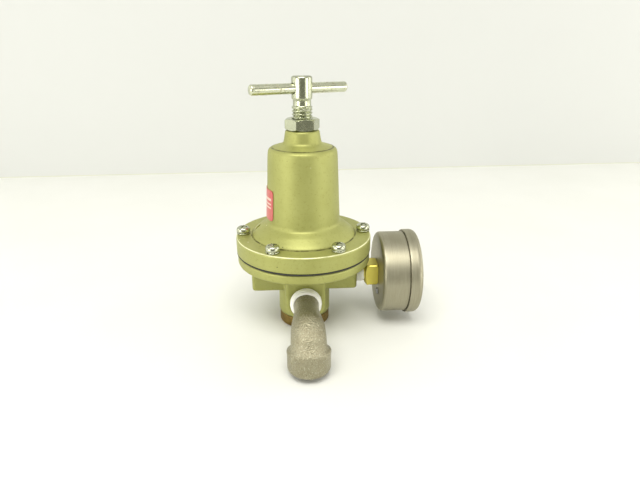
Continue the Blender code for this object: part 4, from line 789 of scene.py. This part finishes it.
for number, (x, y) in enumerate(SCREW_PLACES):
    bores.append(cutter(f"tapped_hole_{number}", rod(
        2.65 * MM, (x, y, 40 * MM), (x, y, 50 * MM), 40)))
cut(body, bores, 35)
place(body, "housing", "olive_paint", "body")

# %% [markdown]
# ## Tee screw, bar and lock nut
# The screw is turned from bar, with a rolled half-inch coarse thread. The thread is written straight
# into the radius: it falls and rises with height and angle together, so the ridge climbs one pitch a
# turn, and it fades out at both ends. The bar slides in a cross hole in the head. The nut is a prism
# whose radius at each angle is the apothem over the cosine, limited by the cone of its chamfer.

# %% Adjusting screw
PITCH = 25.4 / 13 * MM


def thread_rows(radius, depth, pitch, low, high, steps, per_turn):
    """Rows of points round Z with radius r - depth * wave(z / pitch - a / 2 pi), faded at the ends."""
    z = np.linspace(high, low, int((high - low) / pitch * per_turn))[:, None]
    angle = full_turn(steps)
    phase = (z / pitch - angle / (2 * math.pi)) % 1.0
    wave = np.clip(np.abs(phase - 0.5) * 2.6 - 0.25, 0.0, 1.0)
    fade = np.clip(np.minimum(high - z, z - low) / (0.9 * pitch), 0.0, 1.0)
    return round_z(radius - depth * wave * fade, angle, z)


SCREW_STEPS = 72
head = fillet([(0.02, 159.2), (5.5, 159.2, 0.4), (6.35, 158.4, 0.5), (6.35, 146.3, 0.4),
               (5.9, 145.6, 0.4), (5.5, 145.4, 0.5), (5.5, 141.9, 0.5), (6.2, 141.5, 0.2)]) * MM
nose = fillet([(6.2, 103.2), (4.6, 101.5, 0.3), (3.2, 101.0, 0.3), (3.2, 100.3, 0.4),
               (0.02, 100.0)]) * MM
thread = thread_rows(6.35 * MM, 1.05 * MM, PITCH, 103.3 * MM, 141.4 * MM, SCREW_STEPS, 10)
screw = surface("adjusting_screw_fine", np.concatenate([
    revolve(head, SCREW_STEPS), thread, revolve(nose, SCREW_STEPS)]), zinc_finish)
BAR_TURN = math.radians(23.0)
bar_along = np.array([math.cos(BAR_TURN), math.sin(BAR_TURN), 0.0])
bar_middle = np.array([0.0, 0.0, 152.0 * MM]) - bar_along * 1.5 * MM
cut(screw, [cutter("cross_hole", rod(3.475 * MM, bar_middle - bar_along * 12 * MM,
                                     bar_middle + bar_along * 12 * MM, 48))], 30)
place(screw, "adjusting_screw", "zinc_plate", "adjusting_screw")

# %% Tommy bar
bar_profile = fillet([(0.02, -31.75), (2.3, -31.75, 0.25), (3.175, -31.0, 0.4), (3.175, 31.0, 0.4),
                      (2.3, 31.75, 0.25), (0.02, 31.75)])
bar_grid = revolve(refine(bar_profile, 2.0) * MM, 56)
bar = surface("tommy_bar_fine", lay(bar_grid, bar_middle, bar_along), bar_finish)
place(bar, "adjusting_screw", "zinc_plate", "tommy_bar")

# %% Lock nut
def prism_radius(angle, apothem, sides, limit):
    """A prism's radius at each angle: the apothem over the cosine, no more than a turned limit."""
    share = 2 * math.pi / sides
    off = (angle + share / 2) % share - share / 2
    return np.minimum(apothem / np.cos(off), limit)


def nut_rows(low, high, turn):
    """A hexagon prism outside, no wider than a chamfer cone at each end, and a turned bore inside.

    The outer radius at an angle is the least of the prism's, the cone's and the corner circle's.
    """
    angle = full_turn(180)
    rise = np.concatenate([np.linspace(0.0, 1.15, 10), np.linspace(1.6, 5.4, 5),
                           np.linspace(5.85, 7.0, 10)])[:, None] * MM
    from_end = np.minimum(rise, high - low - rise)
    cone = np.minimum(9.15 * MM + from_end * 1.75, 10.93 * MM)
    radius = prism_radius(angle, 9.525 * MM, 6, cone)
    outside = round_z(radius, angle + turn, low + rise)
    bore = np.array([(7.3, 134.5), (6.65, 133.9), (6.65, 128.1), (7.3, 127.5)]) * MM
    inside = revolve(bore, 180) @ np.array(Matrix.Rotation(turn, 3, "Z")).T
    return np.concatenate([outside, inside])


nut_grid = nut_rows(127.5 * MM, 134.5 * MM, math.radians(38.6))
nut = surface("lock_nut_fine", nut_grid, zinc_finish, close_rows=True, sharp_deg=22)
place(nut, "lock_nut", "zinc_plate", "lock_nut")

# %% [markdown]
# ## Flange screws and washers
# Six pan-head screws with cross recesses hold the casting halves, each over a split washer. A head is
# a low dome, pressed cold, and its recess is punched with four tapering wings. Every recess is left at
# its own angle, as a driver leaves it.

# %% Flange screws
head_profile = fillet([(0.02, 65.2), (1.9, 65.12), (3.4, 64.75, 0.4), (4.2, 64.0, 0.6), (4.5, 62.8, 0.5),
                       (4.45, 61.75, 0.2), (4.25, 61.6, 0.1), (2.4, 61.6, 0.1), (2.4, 43.0, 0.2),
                       (2.0, 42.0), (0.02, 42.0)]) * MM


def wing_slot(name, at, turn):
    """Half of a cross recess: a long thin wedge that narrows as it goes down.

    Each row is an oblong turned by an angle: x = u cos t - v sin t, y = u sin t + v cos t.
    """
    signs = np.array([(1, 1), (-1, 1), (-1, -1), (1, -1)])
    rows = []
    for z, length, width in ((65.6, 2.75, 0.62), (64.9, 2.6, 0.58), (62.6, 0.7, 0.3)):
        u, v = signs[:, 0] * length, signs[:, 1] * width
        x, y = u * math.cos(turn) - v * math.sin(turn), u * math.sin(turn) + v * math.cos(turn)
        rows.append(np.stack([x * MM + at[0], y * MM + at[1], np.full(4, z * MM)], axis=-1))
    return cutter(name, np.array(rows))


for number in range(1, 7):
    low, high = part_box(f"bonnet_screw_{number}")
    at = ((low.x + high.x) / 2, (low.y + high.y) / 2)
    pan_head = surface(f"bonnet_screw_fine_{number}", revolve(head_profile, 48) + (*at, 0.0),
                       zinc_finish)
    turn = math.radians(37.0 * number + 12.0)
    cut(pan_head, [wing_slot("wing_a", at, turn), wing_slot("wing_b", at, turn + math.pi / 2)], 30)
    place(pan_head, "housing", "zinc_plate", f"bonnet_screw_{number}")

# %% Split washers
def washer_ring(number):
    """A bar bent round the screw, with its gap 16 degrees wide and turned on from screw to screw.

    Radius 3.55 + 0.85 c and height 0.5 s, where c and s are the cosine and sine of the section's
    angle, each to the power 0.45 with its sign kept, which squares the round section off.
    """
    low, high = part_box(f"lock_washer_{number}")
    screw_low, screw_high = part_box(f"bonnet_screw_{number}")
    x, y = (screw_low.x + screw_high.x) / 2, (screw_low.y + screw_high.y) / 2
    section = np.stack([np.cos(full_turn(20)), np.sin(full_turn(20))])
    section = np.sign(section) * np.abs(section) ** 0.45
    gap_at = math.atan2(y, x) + math.radians(70.0 * number)
    turn = gap_at + np.linspace(math.radians(8), math.radians(352), 64)[:, None]
    radius = 3.55 * MM + 0.85 * MM * section[0]
    height = (low.z + high.z) / 2 - DATUM + 0.5 * MM * section[1]
    return round_z(radius, turn, height) + (x, y, 0.0)


for number in range(1, 7):
    washer = surface(f"lock_washer_fine_{number}", washer_ring(number), zinc_finish, sharp_deg=40)
    place(washer, "housing", "zinc_plate", f"lock_washer_{number}")

# %% [markdown]
# ## Elbow and its tape
# The street elbow is an investment casting in stainless steel: a male thread into the front port, a
# slim leg, a bend that swells as it turns down, and a band round the socket at its mouth. It is one
# surface: circles stood square to a centre line that runs straight, round the bend and down, whose
# radius is a smooth list of values along it, outside first and then back along the bore.

# %% Elbow
ELBOW_LEG, ELBOW_BEND, ELBOW_START = 40.4, 11.0, -15.2
ELBOW_TURN = ELBOW_BEND * math.pi / 2
PIPE_PITCH = 1.411


def along_elbow(distance):
    """The centre and the outward normal of the bend at distances (mm) along the centre line."""
    turn = np.clip((distance - ELBOW_LEG) / ELBOW_BEND, 0.0, math.pi / 2)
    after = np.maximum(distance - ELBOW_LEG - ELBOW_TURN, 0.0)
    y = ELBOW_START - np.minimum(distance, ELBOW_LEG) - ELBOW_BEND * np.sin(turn)
    z = PORT_AXIS / MM - ELBOW_BEND * (1 - np.cos(turn)) - after
    centre = np.stack([0 * distance, y, z], axis=-1)
    outward = np.stack([0 * distance, -np.sin(turn), np.cos(turn)], axis=-1)
    return centre, outward


def sweep(stations, steps):
    """Rings of (distance, radius): centre + r (X cos a + N sin a), N being the bend's outward normal.

    The thread's ridge is taken off the radius near the male end: |frac(s / pitch - a / 2 pi) - 1/2|.
    """
    distance, radius = stations[:, 0, None], stations[:, 1, None]
    centre, outward = along_elbow(stations[:, 0])
    angle = full_turn(steps)
    ridge = np.abs(((distance / PIPE_PITCH - angle / (2 * math.pi)) % 1) - 0.5) - 0.5
    radius = radius + np.where((distance < 11.0) & (radius > 7.0), 0.28 * ridge, 0.0)
    ring = (np.cos(angle)[None, :, None] * np.array([1.0, 0.0, 0.0])
            + np.sin(angle)[None, :, None] * outward[:, None, :])
    return (centre[:, None, :] + radius[..., None] * ring) * MM


ease = np.linspace(0, 1, 24)
swell = np.stack([23.8 + (53.0 - 23.8) * ease, 7.75 + 2.75 * ease ** 1.5 * (2.5 - 1.5 * ease)], axis=-1)
outer = np.vstack([fillet([(0.0, 7.3), (0.5, 7.9, 0.2), (11.4, 8.25, 0.4), (14.4, 7.85, 1.0),
                           (20.8, 7.75, 1.0), (23.0, 7.72)]), swell,
                   fillet([(53.4, 10.6), (55.1, 11.7, 0.8), (55.7, 12.75, 0.4), (56.3, 12.95, 0.4),
                           (57.2, 12.9, 0.5), (57.9, 12.75, 0.5), (66.9, 12.75, 0.6),
                           (67.88, 12.1)], 3)])
inner = fillet([(67.88, 8.9), (67.0, 8.3, 0.3), (58.4, 8.1, 0.3), (58.0, 5.2, 0.3), (40.0, 5.2),
                (0.0, 5.2)])
stations = np.vstack([refine(outer, 0.9), refine(inner, 1.6)])
elbow = surface("elbow_fine", sweep(stations, 96), elbow_finish, close_rows=True, sharp_deg=38)
place(elbow, "housing", "cast_stainless", "elbow")

# %% [markdown]
# ## Thread tape
# Tape is wound on while it is stretched, so it stands in uneven ridges and its edge is ragged where
# it leaves the thread. The radius adds a few sine waves along and round the pipe to its mean.

# %% Tapes
def ragged_tape(name, height, inner_radius, outer_radius, start, end, axis, finish, ridges, cad_node):
    """A ring of tape whose outer radius and end faces wander with angle and distance."""
    share = np.linspace(0, 1, 22)[:, None]
    angle = full_turn(120)
    swell = 0.72 + 0.28 * np.abs(np.sin(ridges * math.pi * share + 0.8 * np.sin(angle + 0.6)))
    ragged = 1 + 0.05 * np.sin(5 * angle + 9 * share) + 0.035 * np.sin(13 * angle - 21 * share)
    thick = (outer_radius - inner_radius) * np.minimum(1.0, swell * ragged)
    soft = np.minimum(1.0, np.minimum(7 * share + 0.35, 2.6 * (1 - share) + 0.06))
    radius = inner_radius + thick * np.sqrt(soft)
    edge = 0.35 * MM * (np.sin(3 * angle) + 0.6 * np.sin(8 * angle + 1.3)) / 1.6
    distance = start + (end - start) * share
    pull = np.where(share < 0.5, 1, -1) * (0.36 * MM + edge) * np.abs(2 * share - 1) ** 3
    distance = distance + pull * np.sign(end - start)
    inside = np.full_like(radius, inner_radius)
    r = np.concatenate([radius, inside[::-1]])
    d = np.concatenate([distance, distance[::-1]])
    a, b = r * np.cos(angle), r * np.sin(angle)
    grid = np.stack([d, a, b] if axis == "X" else [a, d, b], axis=-1)
    obj = surface(name, grid + (0.0, 0.0, height), finish, close_rows=True, sharp_deg=50)
    return place(obj, "housing", "white_tape", cad_node)


ragged_tape("elbow_tape_fine", PORT_AXIS, 8.0 * MM, 10.2 * MM, -26.25 * MM, -31.8 * MM, "Y",
            elbow_tape_finish, 2.6, "elbow_tape")
ragged_tape("gauge_tape_fine", gauge_axis, 6.05 * MM, 6.5 * MM, 35.2 * MM, 40.9 * MM, "X",
            gauge_tape_finish, 4.5, "gauge_tape")

# %% [markdown]
# ## Bottom plug, side plug and nameplate
# The plug under the valve is a bronze turning with a seal groove and two holes for a pin spanner. The
# unused gauge port is closed by a flush plug with a hexagon socket. The plate is thin metal rolled to
# the barrel's curve, with round corners, and stuck down flat.

# %% Bottom plug
foot = -DATUM / MM
plug_profile = fillet([(0.02, 4.0), (7.0, 4.0, 0.3), (7.0, 12.0, 0.3), (11.1, 12.0, 0.2), (11.7, 11.4),
                       (11.7, 7.3), (10.4, 7.3), (10.4, 5.2), (11.7, 5.2), (11.7, 4.0, 0.2),
                       (16.4, 4.0, 0.2), (17.0, 3.4, 0.4), (17.0, foot + 0.7, 0.5),
                       (16.3, foot, 0.4), (0.02, foot)], 3)
bottom = surface("bottom_plug_fine", revolve(plug_profile * MM, 128), bronze_finish)
cut(bottom, [cutter(f"spanner_hole_{k}", rod(1.6 * MM, (sign * 11 * MM, 0, (foot - 1) * MM),
                                             (sign * 11 * MM, 0, (foot + 2.4) * MM), 32))
             for k, sign in enumerate((-1, 1))], 35)
place(bottom, "housing", "bronze", "bottom_plug")

# %% Side plug
SIDE_PLUG_FACE = (-34.2 * MM, 0, gauge_axis)
side_profile = fillet([(0.02, 0.0), (5.2, 0.0, 0.3), (6.0, 0.8, 0.2), (6.0, 8.6, 0.2), (5.4, 9.2, 0.2),
                       (0.02, 9.2)])
side_grid = revolve(refine(side_profile, 0.3) * MM, 72)
side_plug = surface("port_plug_fine", lay(side_grid, SIDE_PLUG_FACE, (1.0, 0.0, 0.0)), zinc_finish)
hexagon = revolve(np.array([(3.67, -1.0), (3.67, 5.0)]) * MM, 6)
cut(side_plug, [cutter("hex_socket", lay(hexagon, SIDE_PLUG_FACE, (1.0, 0.0, 0.0)))], 30)
place(side_plug, "housing", "zinc_plate", "port_plug")

# %% Nameplate
def plate_rows(half_along, half_up, middle, corner_radius):
    """A round-cornered plate wrapped on the barrel, as rings that shrink to its middle on both faces.

    Each ring is the outline times a share. Its points stand at pi + along / 23.5 round the barrel, at
    the barrel's drafted radius for their height plus a lift.
    """
    turns, signs = rounded_corners(16)
    along = signs[:, 0] * (half_along - corner_radius) + corner_radius * np.cos(turns)
    up = signs[:, 1] * (half_up - corner_radius) + corner_radius * np.sin(turns)
    part = np.arange(8)[:, None] / 8
    along = (along + (np.roll(along, -1) - along) * part).T.ravel()
    up = (up + (np.roll(up, -1) - up) * part).T.ravel()
    shares = [0.004, 0.12, 0.24, 0.36, 0.48, 0.6, 0.72, 0.84, 0.94, 0.985, 1.0]
    layers = np.array([(share, 0.28) for share in shares[:-1]] + [(1.0, 0.23), (1.0, 0.05)]
                      + [(share, 0.0) for share in reversed(shares)])
    share, lift = layers[:, 0, None], layers[:, 1, None]
    draft = (BARREL_FOOT[0] - BARREL_TOP[0]) / (BARREL_TOP[1] - BARREL_FOOT[1])
    height = middle + up * share
    radius = (BARREL_FOOT[0] - draft * (height / MM - BARREL_FOOT[1]) + 0.2 + lift) * MM
    turn = math.pi + along * share / (23.5 * MM)
    return round_z(radius, turn, height)


plate_grid = plate_rows(14.4 * MM, (plate_high.z - plate_low.z) / 2, (plate_low.z + plate_high.z) / 2,
                        2.4 * MM)
plate = surface("nameplate_fine", plate_grid, red_finish, sharp_deg=40)
place(plate, "housing", "red_plate", "nameplate")

# %% [markdown]
# ## Gauge
# The gauge is held by its back: a brass socket with a square for the spanner, a deep drawn steel
# case, a pressed bezel crimped over it and a clear lens. The case and bezel are turned profiles laid
# along X. The socket is one grid whose radius is a circle's on the shank, a chamfered square's on the
# spanner flats and a circle's again where it enters the case.

# %% Gauge socket
def socket_rows():
    """Rows of points round Z: a threaded shank, a chamfered square prism and a plain boss.

    The shank's radius is 5.75 + 0.18 |frac(x / 0.94 - a / 2 pi) - 1/2|, all in mm.
    """
    angle = full_turn(160)
    shank_x = np.concatenate([[25.0, 25.3], np.linspace(26.0, 41.3, 40)])[:, None]
    square_x = np.concatenate([np.linspace(41.5, 42.9, 9), np.linspace(44.0, 49.4, 4),
                               [49.9, 50.15, 50.2]])[:, None]
    boss_x = np.linspace(50.2, 56.2, 4)[:, None]
    ridge = 0.3 * np.abs(((shank_x / 0.94 - angle / (2 * math.pi)) % 1) - 0.5)
    shank = np.where(shank_x < 41.0, 5.75 + ridge * 0.6, 6.0)
    shank = np.where(shank_x < 25.2, 5.4, shank)
    limit = np.where(square_x < 43.0, 7.0 + (square_x - 41.5) * 2.4, 9.75)
    limit = np.where(square_x > 49.6, 9.75 - (square_x - 49.6) * 1.2, limit)
    flats = prism_radius(angle, 7.15, 4, np.maximum(limit, 6.0))
    radius = np.concatenate([shank, flats, 5.6 + 0 * boss_x * angle])
    return round_z(radius, angle, np.concatenate([shank_x, square_x, boss_x])) * MM


gauge_socket = surface("gauge_socket_fine", lay(socket_rows(), (0, 0, gauge_axis), (1.0, 0.0, 0.0)),
                       brass_finish, sharp_deg=25)
low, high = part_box("gauge_socket")
BLOCK_HALF = 2.2 * MM
block = slab("tube_block_fine", BLOCK_HALF, 3.0 * MM, low.z - DATUM, gauge_axis, 0.4 * MM, 4)
block.data.transform(Matrix.Translation((high.x - BLOCK_HALF, 0, 0)))
block.data.materials.clear()
block.data.materials.append(brass_finish)
place(gauge_socket, "housing", "brass", "gauge_socket")
place(block, "housing", "brass")

# %% Case and bezel
def turned_along_x(name, profile, finish, steps=160, close_rows=True):
    """A turned piece from (radius, distance along X) points in millimetres."""
    grid = lay(revolve(np.asarray(profile) * MM, steps), (0, 0, gauge_axis), (1.0, 0.0, 0.0))
    return surface(name, grid, finish, close_rows=close_rows)


case_profile = fillet([(5.9, 50.4), (25.6, 50.4, 0.8), (27.4, 51.6, 1.3), (27.4, 70.0, 0.2),
                       (26.3, 70.0, 0.2), (26.3, 52.0, 1.0), (25.0, 51.5, 0.3), (5.9, 51.5)], 6)
case = turned_along_x("gauge_case_fine", refine(case_profile, 3.0), case_finish)
case_holes = []
for number, clock_deg in enumerate((150, 210)):
    turn = math.radians(clock_deg)
    y, z = 13.5 * MM * math.sin(turn), gauge_axis + 13.5 * MM * math.cos(turn)
    case_holes.append(cutter(f"case_hole_{number}", rod(
        1.3 * MM, (49.5 * MM, y, z), (53 * MM, y, z), 24)))
cut(case, case_holes, 30)
place(case, "housing", "stainless_case", "gauge_case")

bezel_profile = fillet([(27.7, 68.0), (28.5, 68.0, 0.2), (28.7, 68.5, 0.2), (28.7, 74.2, 1.4),
                        (27.3, 76.2, 1.3), (24.1, 76.2, 0.5), (24.1, 74.9, 0.3), (27.7, 74.9, 0.3)], 6)
bezel = turned_along_x("gauge_bezel_fine", refine(bezel_profile, 2.0), case_finish)
place(bezel, "housing", "stainless_case", "gauge_bezel")

lens_profile = fillet([(0.02, 74.7), (26.9, 74.7, 0.3), (27.4, 74.2), (27.4, 73.1, 0.3), (26.9, 72.7),
                       (0.02, 72.7)])
lens = turned_along_x("gauge_lens_fine", lens_profile, lens_finish, close_rows=False)
place(lens, "housing", "clear_lens", "gauge_lens")

# %% [markdown]
# ## Dial
# The dial is a white-enamelled disc, printed with a plain 0 to 160 scale over 270 degrees. Ticks are
# thin raised bars placed by their share of the scale: long at the figures, middling halfway, short
# between. Short bars end to end make the arc, and the figures are set upright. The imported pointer
# stands over it at zero.

# %% Dial face and print
low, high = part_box("gauge_dial")
FACE = high.x / MM
dial = turned_along_x("gauge_dial_fine", fillet([
    (1.3, FACE), (25.7, FACE, 0.1), (26.0, FACE - 0.2), (26.0, low.x / MM), (1.3, low.x / MM)]),
    dial_finish, steps=120)
place(dial, "housing", "dial_white", "gauge_dial")

marks = bmesh.new()


def scale_way(share):
    """How far across and how far up the dial a share of the scale points."""
    turn = math.radians(225.0 + 270.0 * share)
    return math.sin(turn), math.cos(turn)


def tick(share, inner, outer, width):
    """A thin bar on the dial, at a share of the scale."""
    across, up = scale_way(share)
    out, side = np.array([0.0, across, up]), np.array([0.0, up, -across])
    base = np.array([FACE + 0.02, 0.0, gauge_axis / MM])
    corners = []
    for lift in (0.0, 0.06):
        for reach, sign in ((inner, -1), (outer, -1), (outer, 1), (inner, 1)):
            point = base + out * reach + side * sign * width / 2 + np.array([lift, 0.0, 0.0])
            corners.append(marks.verts.new((point * MM + (0.0, 0.0, DATUM)).tolist()))
    for face in ((0, 1, 2, 3), (7, 6, 5, 4), (0, 4, 5, 1), (1, 5, 6, 2), (2, 6, 7, 3), (3, 7, 4, 0)):
        marks.faces.new([corners[i] for i in face])


def figure(value, stand_radius):
    """The mesh of a number, upright on the dial beside its tick."""
    text = bpy.data.curves.new("figure", "FONT")
    text.body, text.size, text.extrude = str(value), 3.4 * MM, 0.03 * MM
    text.align_x, text.align_y = "CENTER", "CENTER"
    text.resolution_u = 3
    holder = new_object("figure", text)
    bpy.context.view_layer.update()
    made = bpy.data.meshes.new_from_object(holder.evaluated_get(
        bpy.context.evaluated_depsgraph_get()))
    bpy.data.objects.remove(holder)
    across, up = scale_way(value / 160)
    stand = Matrix.Translation(((FACE + 0.05) * MM, stand_radius * across,
                                DATUM + gauge_axis + stand_radius * up))
    made.transform(stand @ Matrix(((0, 0, 1), (1, 0, 0), (0, 1, 0))).to_4x4())
    return made


TICK_END, TICKS, ARC_BARS = 22.4, 80, 120
for number in range(TICKS + 1):
    if number % 10 == 0:
        tick(number / TICKS, 18.6, TICK_END, 0.55)
    elif number % 5 == 0:
        tick(number / TICKS, 20.0, TICK_END, 0.32)
    else:
        tick(number / TICKS, 20.8, TICK_END, 0.18)
arc_bar = 1.01 * math.radians(270.0) * 22.5 / ARC_BARS
for number in range(ARC_BARS):
    tick((number + 0.5) / ARC_BARS, TICK_END, 22.62, arc_bar)
bmesh.ops.recalc_face_normals(marks, faces=marks.faces)
for value in range(0, 161, 20):
    marks.from_mesh(figure(value, 15.4 * MM))
mesh = bpy.data.meshes.new("dial_print")
marks.to_mesh(mesh)
marks.free()
mesh.materials.append(ink_finish)
dial_print = new_object("dial_print_fine", mesh)
place(dial_print, "housing", "pointer_black")

# %% [markdown]
# ## Inner pieces
# What is left is inside, and shows only when the casting is open or the parts move: springs, diaphragm
# plate, valve and the gauge's movement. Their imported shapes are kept, and each gets a worn finish in
# place of its flat colour, chosen by the slot the record gives it.

# %% Finishes for the kept nodes
steel_finish = plain("steel_oiled", (0.42, 0.42, 0.40), (0.55, 0.55, 0.52), 220.0, 0.35,
                     metallic=1.0)
by_slot = {"olive_paint": casting_finish, "zinc_plate": zinc_finish, "stainless_case": case_finish,
           "cast_stainless": elbow_finish, "bronze": bronze_finish, "brass": brass_finish,
           "spring_steel": spring_finish, "black_rubber": rubber_finish,
           "white_tape": gauge_tape_finish, "red_plate": red_finish, "clear_lens": lens_finish,
           "dial_white": dial_finish, "pointer_black": ink_finish}
finished = {}
for name, obj in nodes.items():
    for holder in obj.material_slots:
        slot_name = holder.material.name.split(".")[0] if holder.material else "steel"
        holder.material = by_slot.get(slot_name, steel_finish)
        finished.setdefault(holder.material.name, []).append(name)
for finish_name, names in finished.items():
    print(finish_name, len(names), names[:4])
